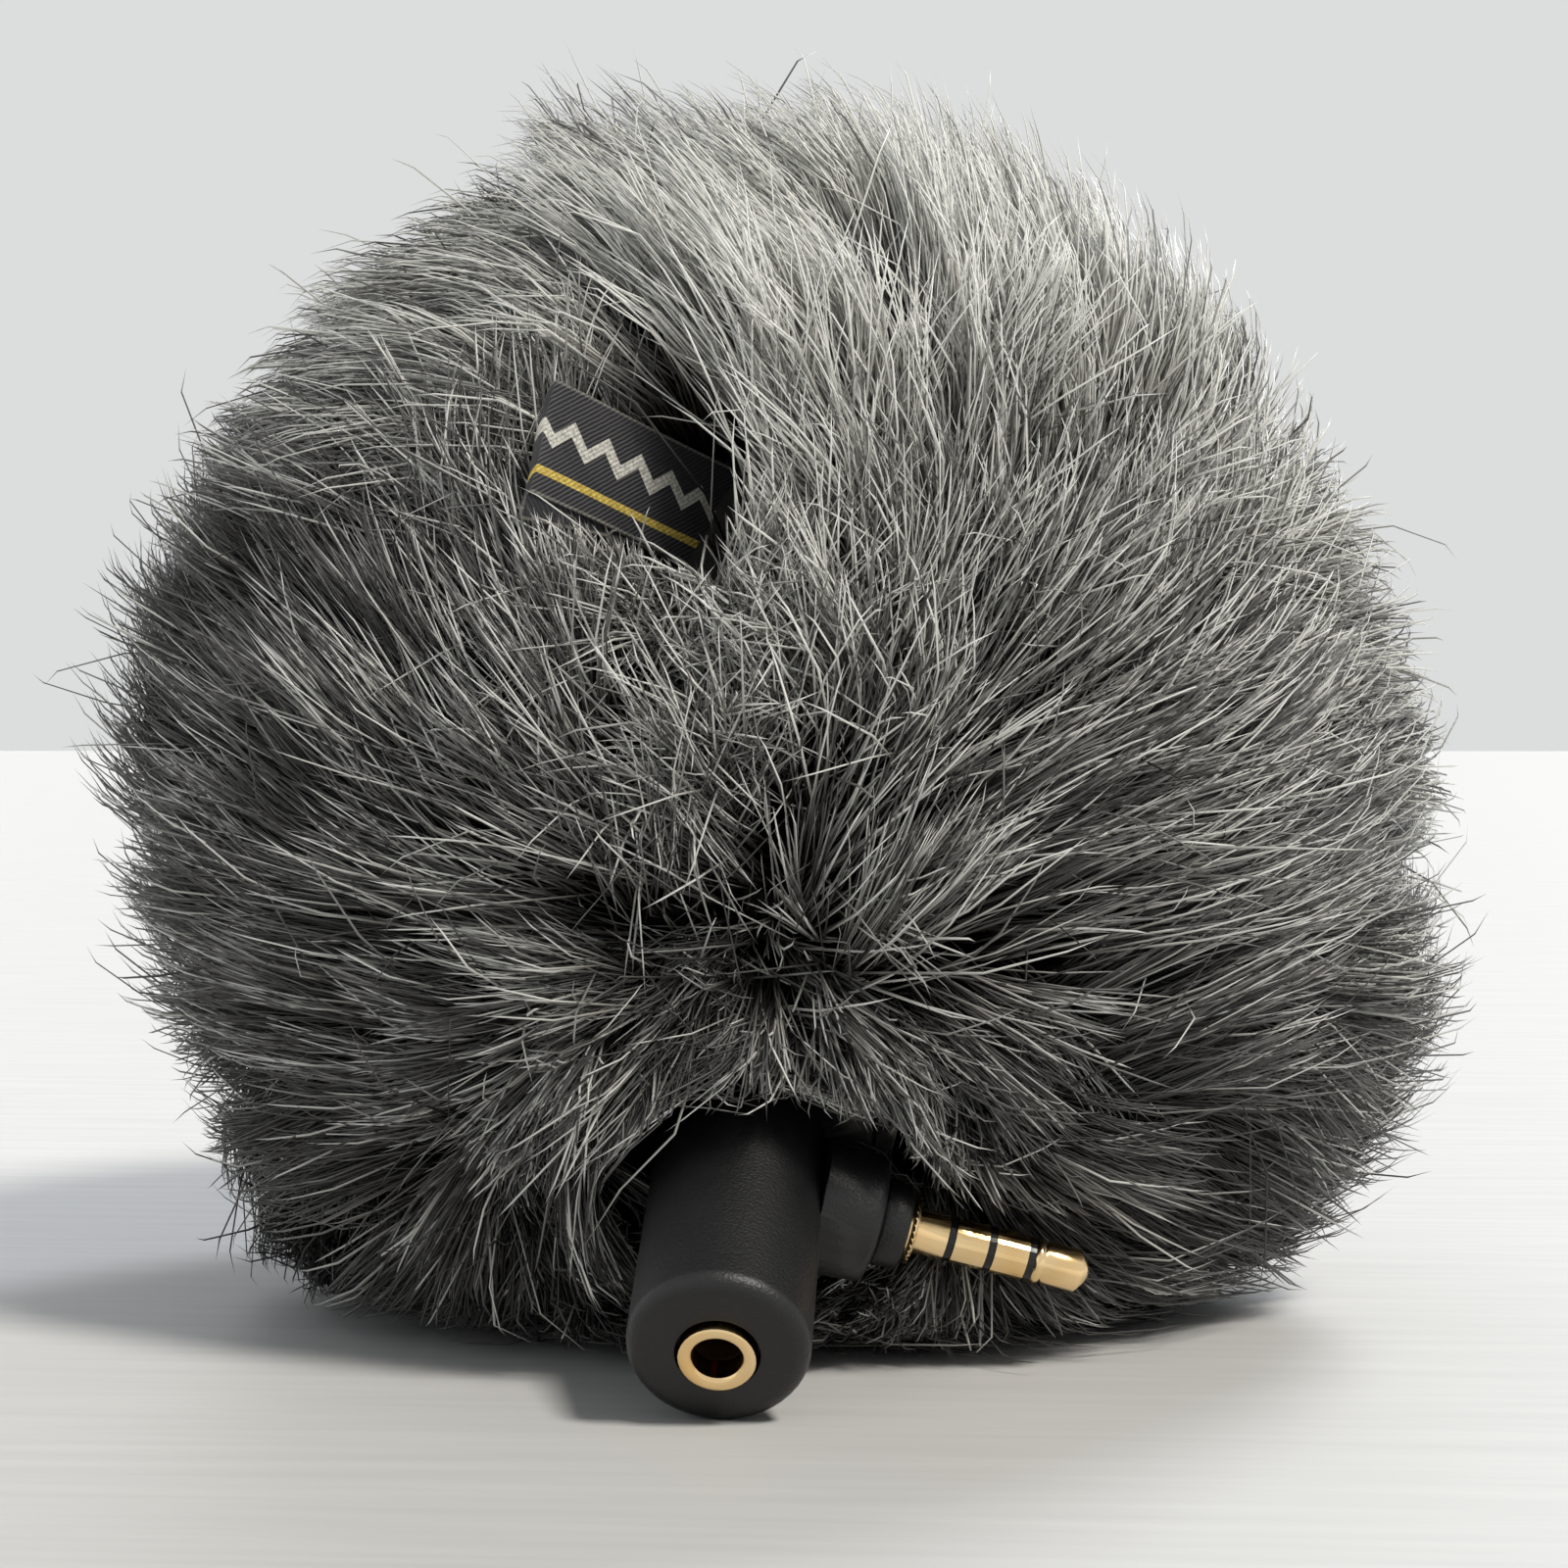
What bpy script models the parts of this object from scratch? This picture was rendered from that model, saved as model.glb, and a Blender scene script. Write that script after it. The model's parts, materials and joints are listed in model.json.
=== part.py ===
"""Smartphone microphone with a side plug, a headphone socket and a furry windshield.

It lies as on a table: the rear rim of the housing and the flattened base of the fur touch z = 0.
The microphone's axis rises from the rear face, near -Y, to the front inside the fur. +X is the plug's side.
"""

import math

import bmesh
import bpy
from mathutils import Euler, Matrix, Vector

MM = 0.001

# How the microphone lies
AXIS_RISE = math.radians(28.5)  # of the microphone's axis above the table
PLUG_DROP = math.radians(17.0)  # of the plug below level, as a turn about that axis

# Clearances
FIT = 0.3 * MM  # between pieces that touch
STACK_GAP = 0.05 * MM  # between the stacked rings of the plug
CUT_PAST = 1.0 * MM  # how far a cutter runs past what it cuts

# Rear housing: a tube with a closed rear face at 0, measured along the axis from there
NECK_RADIUS = 6.55 * MM
NECK_WALL = 1.05 * MM
REAR_WALL = 1.4 * MM
REAR_ROUNDING = 1.3 * MM
NECK_LENGTH = 24.4 * MM
SHOULDER_LENGTH = 1.4 * MM
SHOULDER_EDGE = 0.4 * MM
COLLAR_LENGTH = 1.6 * MM
SPIGOT_LENGTH = 6.0 * MM
SPIGOT_WALL = 1.0 * MM

# Side boss and plug, measured from the axis outwards
PLUG_STATION = 19.5 * MM  # of the plug's axis, from the rear face
BOSS_ROOT_RADIUS = 5.2 * MM
BOSS_END_RADIUS = 4.85 * MM
BOSS_STAND = 4.25 * MM  # beyond the neck
BOSS_ROUNDING = 0.7 * MM
BOSS_BORE_RADIUS = 3.0 * MM
BOOT_RADIUS = 3.4 * MM
BOOT_END_RADIUS = 3.2 * MM
BOOT_ROUNDING = 0.3 * MM
BOOT_STAND = 2.6 * MM  # beyond the boss
BOOT_SPIGOT_DEPTH = 4.6 * MM
PLUG_RADIUS = 1.75 * MM
PLUG_LENGTH = 14.2 * MM
PLUG_PIN_RADIUS = 0.8 * MM
SLEEVE_LENGTH = 2.9 * MM
SLEEVE_TAIL = 7.6 * MM  # inside the boot and the boss
SLEEVE_FLANGE_RADIUS = 2.7 * MM
SLEEVE_FLANGE_THICKNESS = 0.35 * MM
CONTACT_RING_LENGTH = 2.55 * MM
INSULATOR_LENGTH = 0.5 * MM
INSULATOR_SINK = 0.05 * MM  # below the contacts
TIP_COLLAR_LENGTH = 0.6 * MM
TIP_GROOVE_DEPTH = 0.35 * MM
TIP_GROOVE_WIDTH = 0.35 * MM
TIP_STEP = 0.1 * MM  # down from the collar to the tip's barrel
TIP_CHAMFER = 0.85 * MM
TIP_NOSE_RADIUS = 0.6 * MM
PIN_TAIL = 9.4 * MM  # of the tip's centre pin, inwards from the boot's face

# Socket
JACK_RING_RADIUS = 2.75 * MM
JACK_RING_PROUD = 0.7 * MM
JACK_RING_EDGE = 0.15 * MM
JACK_LIP_WIDTH = 0.25 * MM
JACK_LIP_DEPTH = 0.35 * MM
SOCKET_PLAY = 0.05 * MM  # between the bore and a plug in it
JACK_BODY_HEIGHT = 7.0 * MM
JACK_BODY_LENGTH = 11.3 * MM
LEAF_WIDTH = 1.2 * MM
LEAF_THICKNESS = 0.25 * MM
LEAF_BUMP = 0.3 * MM  # how far the leaf's bump stands into the bore
LEAF_BUMP_LENGTH = 1.0 * MM
LEAF_BUMP_START = 2.2 * MM  # from the leaf's free end
LEAF_MOUTH = 0.9 * MM  # how far the free end bends back from the bump
LEAF_COVER = 0.5 * MM  # from the leaf's root to the jack body's side
LEAF_START = 2.6 * MM  # of the free end, from the jack body's rear face
LEAF_END_WALL = 1.1 * MM

# Head
HEAD_RADIUS = 10.0 * MM
HEAD_WALL = 1.0 * MM
MICROPHONE_LENGTH = 79.7 * MM
CAP_LENGTH = 2.2 * MM
CAP_FACE = 1.3 * MM
CAP_ROUNDING = 1.0 * MM
CAP_SPIGOT_LENGTH = 5.0 * MM
CAP_SLOT_WIDTH = 1.5 * MM
CAP_SLOT_COUNT = 5
SIDE_SLOT_WIDTH = 2.2 * MM
SIDE_SLOT_LENGTH = 8.0 * MM
SIDE_SLOT_COUNT = 10
SIDE_SLOT_BANDS = 2
SIDE_SLOT_PITCH = 12.0 * MM  # from one band to the next
SIDE_SLOT_FROM_FRONT = 19.7 * MM  # where the front band begins
MESH_WALL = 0.3 * MM
CAPSULE_LENGTH = 8.0 * MM
CAPSULE_FROM_FRONT = 19.2 * MM  # of its rear face
CAPSULE_RIM = 1.0 * MM
MOUNT_WALL = 0.8 * MM
MOUNT_LIP = 0.7 * MM
BACK_PLATE_INSET = 1.4 * MM  # from the capsule's side
BACK_PLATE_THICKNESS = 0.8 * MM

# Electronics
BOARD_THICKNESS = 1.0 * MM
BOARD_OFFSET = 1.5 * MM  # of its middle from the axis, away from the plug
BOARD_LENGTH = 30.5 * MM
BAFFLE_THICKNESS = 2.4 * MM
LEAD_RADIUS = 0.35 * MM
LEAD_SPREAD = 2.0 * MM  # of each lead from the board's middle
LEAD_PAD = 3.0 * MM  # the stretch soldered to the board
LEAD_LIFT = 1.0 * MM  # where it leaves the board, from the board's end
LEAD_BOW = 0.8 * MM
LEAD_HOLE_RADIUS = 0.8 * MM
PARTS_GAP = 1.0 * MM  # between the parts on the board
CHIP_SIZE = (5.0 * MM, 1.5 * MM, 4.0 * MM)
CHIP_EDGE = 0.15 * MM
CAPACITOR_RADIUS = 2.0 * MM
CAPACITOR_HEIGHT = 4.4 * MM
CAPACITOR_COUNT = 2
CAPACITOR_ROUNDING = 0.3 * MM
CAPACITOR_NECK = 1.0 * MM  # height of the groove rolled round the can
CAPACITOR_NECK_DEPTH = 0.2 * MM
TERMINAL_SIZE = (5.2 * MM, 4.0 * MM)  # across the board and along it
TERMINAL_EDGE = 0.2 * MM
BOARD_EDGE = 0.1 * MM

# Windshield
CUFF_LENGTH = 5.5 * MM
CUFF_WALL = 1.3 * MM
CUFF_RIBS = 3
CUFF_RIB_HEIGHT = 0.25 * MM
LINING_WALL = 0.8 * MM
FUR_SIDE = 1.0 * MM  # of the fur's middle, towards the plug
FUR_ABOVE = 7.65 * MM  # of it above the microphone's axis
FUR_FROM_FRONT = 9.55 * MM  # of it behind the microphone's front end
FUR_HALF_WIDTH = 54.5 * MM  # of the dense pile, 4 mm within the longest hairs' tips
FUR_HALF_DEPTH = 47.5 * MM
FUR_HALF_HEIGHT = 54.5 * MM
# Where the pile swells or is pressed in: direction, share of the reach, how wide
FUR_SWELLS = (
    (Vector((0.80, -0.10, -0.62)), 0.08, 0.07),  # low on the plug's side
    (Vector((0.93, -0.10, 0.33)), -0.10, 0.10),  # high on the plug's side
    (Vector((0.60, -0.10, 0.75)), -0.03, 0.05),  # the shoulder above it
    (Vector((-0.36, 0.00, 0.95)), 0.09, 0.02),  # the tuft at the top
    (Vector((0.05, -0.95, -0.25)), -0.08, 0.02),  # the whorl above the mouth
    (Vector((-0.15, -0.97, 0.15)), -0.04, 0.02),  # the parting from there up to the label
    (Vector((-0.50, -0.80, 0.10)), -0.04, 0.015),  # the hollow beside the left panel
    (Vector((-0.80, -0.40, 0.33)), 0.03, 0.03),  # the left panel
    (Vector((0.25, -0.70, 0.62)), 0.03, 0.04),  # the crown
)
LOCK_RISE = 0.03  # share of the reach by which the pile rises and falls in locks
LOCK_WAVES = 12.0  # of that rise, in radians for each radian round the ball
LOCK_SLANT = 5.0  # of its waves across their way, in the same measure
FUR_AROUND = 56
FUR_UP = 30
SEAM_GAP = 0.4 * MM
MOUTH_EASE = 0.65 * MM  # between the cuff's hollow and the dish round the mouth
MOUTH_REACH = 34.0 * MM
PLUG_ROOM = 0.25 * MM  # between the plug's tip and the dish

# Woven label: a folded ribbon loop
LABEL_WAY = Vector((-0.284, -0.842, 0.459))  # from the fur's middle to the fold, as shares of its reach
LABEL_STAND = 1.2 * MM  # of the fold beyond the dense pile, among the hairs' tips
LABEL_TURN = Euler((math.radians(-6.2), math.radians(18.8), math.radians(43.7)))
LABEL_LENGTH = 24.0 * MM
LABEL_WIDTH = 9.2 * MM
LABEL_LAYER = 0.45 * MM
LABEL_GAP = 0.9 * MM
LABEL_POCKET_GAP = 0.6 * MM
LABEL_POCKET_WAY = Vector((-0.067, -1.0, 0.067))  # the way the fur parts in front of it
LABEL_POCKET_DEPTH = 30.0 * MM

# Facets
ROUND_SEGMENTS = 48
SMALL_SEGMENTS = 32
CAN_SEGMENTS = 20
HOLE_SEGMENTS = 12
SHARP_ANGLE = math.radians(35)

# Worked out from the sizes above
SHOULDER_START = NECK_LENGTH
HEAD_START = SHOULDER_START + SHOULDER_LENGTH
SHELL_START = HEAD_START + COLLAR_LENGTH
CAP_START = MICROPHONE_LENGTH - CAP_LENGTH
NECK_BORE = NECK_RADIUS - NECK_WALL
BOSS_REACH = NECK_RADIUS + BOSS_STAND
BOOT_REACH = BOSS_REACH + BOOT_STAND
PLUG_REACH = BOOT_REACH + PLUG_LENGTH
PLUG_BORE_RADIUS = PLUG_PIN_RADIUS + FIT
JACK_BORE_RADIUS = PLUG_RADIUS + SOCKET_PLAY
JACK_BODY_WIDTH = 2 * math.sqrt((NECK_BORE - FIT) ** 2 - (JACK_BODY_HEIGHT / 2) ** 2)
LEAF_END = JACK_BODY_LENGTH - LEAF_END_WALL
SHELL_BORE = HEAD_RADIUS - HEAD_WALL
SPIGOT_RADIUS = SHELL_BORE - FIT
SPIGOT_BORE = SPIGOT_RADIUS - SPIGOT_WALL
MESH_RADIUS = SHELL_BORE - FIT
MESH_BORE = MESH_RADIUS - MESH_WALL
MESH_START = SHELL_START + SPIGOT_LENGTH + FIT
CAPSULE_RADIUS = MESH_BORE - FIT - MOUNT_WALL - FIT
CAPSULE_STATION = MICROPHONE_LENGTH - CAPSULE_FROM_FRONT
BOARD_START = REAR_WALL + FIT + JACK_BODY_LENGTH + FIT
BOARD_END = BOARD_START + BOARD_LENGTH
CAPACITOR_STATION = BOARD_END - LEAD_PAD - FIT - CAPACITOR_RADIUS  # of the one nearest the capsule
CAPACITOR_PITCH = 2 * CAPACITOR_RADIUS + PARTS_GAP
CHIP_END = CAPACITOR_STATION - CAPACITOR_COUNT * CAPACITOR_PITCH + CAPACITOR_RADIUS
CUFF_START = SHELL_START
CUFF_END = CUFF_START + CUFF_LENGTH
WRAP_BORE = HEAD_RADIUS + FIT
LINING_RADIUS = WRAP_BORE + LINING_WALL
LINING_END = MICROPHONE_LENGTH + 2 * FIT + LINING_WALL
CUFF_ROOM = WRAP_BORE + CUFF_WALL + CUFF_RIB_HEIGHT + FIT
MOUTH_RADIUS = CUFF_ROOM + MOUTH_EASE
SECOND_RING_START = BOOT_REACH + SLEEVE_LENGTH + INSULATOR_LENGTH + 2 * STACK_GAP
FIRST_RING_START = SECOND_RING_START + CONTACT_RING_LENGTH + INSULATOR_LENGTH + 2 * STACK_GAP
TIP_START = FIRST_RING_START + CONTACT_RING_LENGTH + INSULATOR_LENGTH + 2 * STACK_GAP
REAR_HEIGHT = (
    (NECK_RADIUS - REAR_ROUNDING) * math.cos(AXIS_RISE) + REAR_ROUNDING * (1 - math.sin(AXIS_RISE))
)
LYING = Matrix.Translation((0, 0, REAR_HEIGHT)) @ Matrix.Rotation(AXIS_RISE - math.pi / 2, 4, "X")
FUR_CENTRE = LYING @ Vector((FUR_SIDE, -FUR_ABOVE, MICROPHONE_LENGTH - FUR_FROM_FRONT))
FUR_REACH = Vector((FUR_HALF_WIDTH, FUR_HALF_DEPTH, FUR_HALF_HEIGHT))
LABEL_FOLD = FUR_CENTRE + LABEL_WAY * FUR_REACH + LABEL_WAY * LABEL_STAND
LABEL_PLACE = Matrix.Translation(LABEL_FOLD) @ LABEL_TURN.to_matrix().to_4x4()


def clear_scene():
    for obj in list(bpy.data.objects):
        bpy.data.objects.remove(obj)


def material(name, colour, roughness, metallic=0.0):
    made = bpy.data.materials.new(name)
    made.use_nodes = True
    shader = made.node_tree.nodes["Principled BSDF"]
    shader.inputs["Base Color"].default_value = (*colour, 1)
    shader.inputs["Roughness"].default_value = roughness
    shader.inputs["Metallic"].default_value = metallic
    return made


def empty(name, matrix, parent=None):
    made = bpy.data.objects.new(name, None)
    bpy.context.collection.objects.link(made)
    made.parent = parent
    made.matrix_local = matrix
    return made


def piece(name, shape, parent, finish):
    """Turns a bmesh into a named object, shaded smooth but for its edges."""
    bmesh.ops.recalc_face_normals(shape, faces=shape.faces)
    mesh = bpy.data.meshes.new(name)
    shape.to_mesh(mesh)
    shape.free()
    mesh.shade_smooth()
    mesh.set_sharp_from_angle(angle=SHARP_ANGLE)
    made = bpy.data.objects.new(name, mesh)
    bpy.context.collection.objects.link(made)
    made.parent = parent
    if finish:
        mesh.materials.append(finish)
    return made


def helper(name, shape, parent):
    made = piece(name, shape, parent, None)
    made.hide_render = True
    made.display_type = "WIRE"
    return made


def boolean(obj, operation, other):
    modifier = obj.modifiers.new(other.name, "BOOLEAN")
    modifier.operation = operation
    modifier.object = other


def arc(radius_centre, height_centre, radius, start, end, steps=5):
    """Points of a rounded corner in a turned profile, as (radius, height). The angles are in degrees."""
    points = []
    for i in range(steps + 1):
        angle = math.radians(start + (end - start) * i / steps)
        points.append((radius_centre + radius * math.cos(angle), height_centre + radius * math.sin(angle)))
    return points


def turned(profile, segments=ROUND_SEGMENTS, along="Z", at=(0, 0, 0)):
    """A solid turned from (radius, height) points about Z, or about X with its height along +X."""
    shape = bmesh.new()
    verts = [shape.verts.new((r, 0, z)) for r, z in profile]
    on_axis = profile[0][0] == 0 and profile[-1][0] == 0
    ends = list(zip(verts, verts[1:])) + ([] if on_axis else [(verts[-1], verts[0])])
    edges = [shape.edges.new(pair) for pair in ends]
    bmesh.ops.spin(
        shape, geom=verts + edges, axis=(0, 0, 1), cent=(0, 0, 0),
        angle=2 * math.pi, steps=segments, use_merge=True,
    )
    bmesh.ops.remove_doubles(shape, verts=shape.verts, dist=1e-7)
    if along == "X":
        shape.transform(Matrix.Rotation(math.pi / 2, 4, "Y"))
    shape.transform(Matrix.Translation(at))
    return shape


def tube(outer, bore, start, end):
    return [(bore, start), (outer, start), (outer, end), (bore, end)]


def block(low, high):
    shape = bmesh.new()
    bmesh.ops.create_cube(shape, size=1)
    low, high = Vector(low), Vector(high)
    size = high - low
    shape.transform(Matrix.Translation((low + high) / 2) @ Matrix.Diagonal((*size, 1)))
    return shape


def softened(shape, width):
    """The same block with its edges bevelled."""
    bmesh.ops.bevel(shape, geom=shape.edges, offset=width, segments=2, profile=0.5, affect="EDGES")
    return shape


def grouped(shapes):
    """Several separate cutters as one shape."""
    whole = bmesh.new()
    for shape in shapes:
        part = bpy.data.meshes.new("part")
        shape.to_mesh(part)
        shape.free()
        whole.from_mesh(part)
        bpy.data.meshes.remove(part)
    return whole


def extruded(outline, depth):
    """A closed (y, z) outline as a solid, half of depth to each side along X."""
    shape = bmesh.new()
    face = shape.faces.new([shape.verts.new((-depth / 2, y, z)) for y, z in outline])
    grown = bmesh.ops.extrude_face_region(shape, geom=[face])
    moved = [v for v in grown["geom"] if isinstance(v, bmesh.types.BMVert)]
    bmesh.ops.translate(shape, verts=moved, vec=(depth, 0, 0))
    return shape


def rear_housing(parent, plastic):
    outer = arc(NECK_RADIUS - REAR_ROUNDING, REAR_ROUNDING, REAR_ROUNDING, -90, 0)
    profile = [
        (JACK_RING_RADIUS + FIT, 0),
        *outer,
        (NECK_RADIUS, SHOULDER_START),
        (HEAD_RADIUS - SHOULDER_EDGE, HEAD_START - SHOULDER_EDGE),
        (HEAD_RADIUS, HEAD_START),
        (HEAD_RADIUS, SHELL_START - FIT),
        (SPIGOT_RADIUS, SHELL_START - FIT),
        (SPIGOT_RADIUS, SHELL_START + SPIGOT_LENGTH),
        (SPIGOT_BORE, SHELL_START + SPIGOT_LENGTH),
        (SPIGOT_BORE, SHELL_START),
        (NECK_BORE, SHELL_START - (SPIGOT_BORE - NECK_BORE)),
        (NECK_BORE, REAR_WALL),
        (JACK_RING_RADIUS + FIT, REAR_WALL),
    ]
    housing = piece("rear_housing", turned(profile), parent, plastic)
    at = (0, 0, PLUG_STATION)
    inside = NECK_BORE + NECK_WALL / 2
    boss = [
        (0, inside),
        (BOSS_ROOT_RADIUS, inside),
        *arc(BOSS_END_RADIUS - BOSS_ROUNDING, BOSS_REACH - BOSS_ROUNDING, BOSS_ROUNDING, 0, 90),
        (0, BOSS_REACH),
    ]
    boolean(housing, "UNION", helper("boss_form", turned(boss, SMALL_SEGMENTS, "X", at), parent))
    neck = [(0, REAR_WALL), (NECK_BORE, REAR_WALL), (NECK_BORE, SHOULDER_START), (0, SHOULDER_START)]
    boolean(housing, "DIFFERENCE", helper("neck_hollow", turned(neck), parent))
    past = BOSS_REACH + CUT_PAST
    bore = [(0, 0), (BOSS_BORE_RADIUS, 0), (BOSS_BORE_RADIUS, past), (0, past)]
    boolean(housing, "DIFFERENCE", helper("boss_bore", turned(bore, SMALL_SEGMENTS, "X", at), parent))


def plug(parent, plastic, gold, insulation):
    at = (0, 0, PLUG_STATION)
    spigot = BOSS_BORE_RADIUS - FIT
    bore = PLUG_RADIUS + FIT
    boot = [
        (bore, BOOT_REACH - BOOT_SPIGOT_DEPTH - FIT),
        (spigot, BOOT_REACH - BOOT_SPIGOT_DEPTH - FIT),
        (spigot, BOSS_REACH + FIT),
        (BOOT_RADIUS, BOSS_REACH + FIT),
        *arc(BOOT_END_RADIUS - BOOT_ROUNDING, BOOT_REACH - FIT - BOOT_ROUNDING, BOOT_ROUNDING, 0, 90, 3),
        (bore, BOOT_REACH - FIT),
    ]
    piece("plug_boot", turned(boot, SMALL_SEGMENTS, "X", at), parent, plastic)

    flange_end = BOOT_REACH + SLEEVE_FLANGE_THICKNESS
    sleeve = [
        (PLUG_BORE_RADIUS, BOOT_REACH - SLEEVE_TAIL),
        (PLUG_RADIUS, BOOT_REACH - SLEEVE_TAIL),
        (PLUG_RADIUS, BOOT_REACH),
        (SLEEVE_FLANGE_RADIUS, BOOT_REACH),
        (SLEEVE_FLANGE_RADIUS, flange_end),
        (PLUG_RADIUS, flange_end),
        (PLUG_RADIUS, BOOT_REACH + SLEEVE_LENGTH),
        (PLUG_BORE_RADIUS, BOOT_REACH + SLEEVE_LENGTH),
    ]
    piece("plug_sleeve", turned(sleeve, SMALL_SEGMENTS, "X", at), parent, gold)

    for name, start in (("plug_ring_2", SECOND_RING_START), ("plug_ring_1", FIRST_RING_START)):
        ring = tube(PLUG_RADIUS, PLUG_BORE_RADIUS, start, start + CONTACT_RING_LENGTH)
        piece(name, turned(ring, SMALL_SEGMENTS, "X", at), parent, gold)
    stops = (
        ("sleeve_insulator", SECOND_RING_START),
        ("ring_insulator", FIRST_RING_START),
        ("tip_insulator", TIP_START),
    )
    for name, next_start in stops:
        end = next_start - STACK_GAP
        ring = tube(PLUG_RADIUS - INSULATOR_SINK, PLUG_BORE_RADIUS, end - INSULATOR_LENGTH, end)
        piece(name, turned(ring, SMALL_SEGMENTS, "X", at), parent, insulation)

    collar_end = TIP_START + TIP_COLLAR_LENGTH
    barrel = PLUG_RADIUS - TIP_STEP
    tip = [
        (0, BOOT_REACH - PIN_TAIL),
        (PLUG_PIN_RADIUS, BOOT_REACH - PIN_TAIL),
        (PLUG_PIN_RADIUS, TIP_START),
        (PLUG_RADIUS, TIP_START),
        (PLUG_RADIUS, collar_end),
        (PLUG_RADIUS - TIP_GROOVE_DEPTH, collar_end + TIP_GROOVE_WIDTH / 2),
        (barrel, collar_end + TIP_GROOVE_WIDTH),
        (barrel, PLUG_REACH - TIP_CHAMFER),
        (TIP_NOSE_RADIUS, PLUG_REACH),
        (0, PLUG_REACH),
    ]
    piece("plug_tip", turned(tip, SMALL_SEGMENTS, "X", at), parent, gold)


def socket(parent, gold, black, brass):
    ring = [
        (JACK_BORE_RADIUS, JACK_LIP_DEPTH - JACK_RING_PROUD),
        (JACK_BORE_RADIUS + JACK_LIP_WIDTH, -JACK_RING_PROUD),
        (JACK_RING_RADIUS - JACK_RING_EDGE, -JACK_RING_PROUD),
        (JACK_RING_RADIUS, JACK_RING_EDGE - JACK_RING_PROUD),
        (JACK_RING_RADIUS, REAR_WALL),
        (JACK_BORE_RADIUS, REAR_WALL),
    ]
    piece("jack_ring", turned(ring, SMALL_SEGMENTS), parent, gold)

    start = REAR_WALL + FIT
    end = start + JACK_BODY_LENGTH
    half_width, half_height = JACK_BODY_WIDTH / 2, JACK_BODY_HEIGHT / 2
    body = piece(
        "jack_body", block((-half_width, -half_height, start), (half_width, half_height, end)), parent, black
    )
    past = end + CUT_PAST
    bore = [(0, -CUT_PAST), (JACK_BORE_RADIUS, -CUT_PAST), (JACK_BORE_RADIUS, past), (0, past)]
    boolean(body, "DIFFERENCE", helper("jack_bore", turned(bore, SMALL_SEGMENTS), parent))
    channel = LEAF_WIDTH / 2 + FIT
    first, last = start + LEAF_START, start + LEAF_END
    slot = block(
        (-channel, -half_height - CUT_PAST, first - FIT), (channel, half_height + CUT_PAST, last + FIT)
    )
    boolean(body, "DIFFERENCE", helper("jack_channel", slot, parent))

    bump = JACK_BORE_RADIUS - LEAF_BUMP
    curve = [
        (bump + LEAF_MOUTH, first),
        (bump, first + LEAF_BUMP_START),
        (bump, first + LEAF_BUMP_START + LEAF_BUMP_LENGTH),
        (half_height - LEAF_COVER, last),
    ]
    outline = curve + [(y + LEAF_THICKNESS, z) for y, z in reversed(curve)]
    piece("jack_tip_contact", extruded(outline, LEAF_WIDTH), parent, brass)
    mirrored = [(-y, z) for y, z in outline]
    piece("jack_ring_contact", extruded(mirrored, LEAF_WIDTH), parent, brass)


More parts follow.
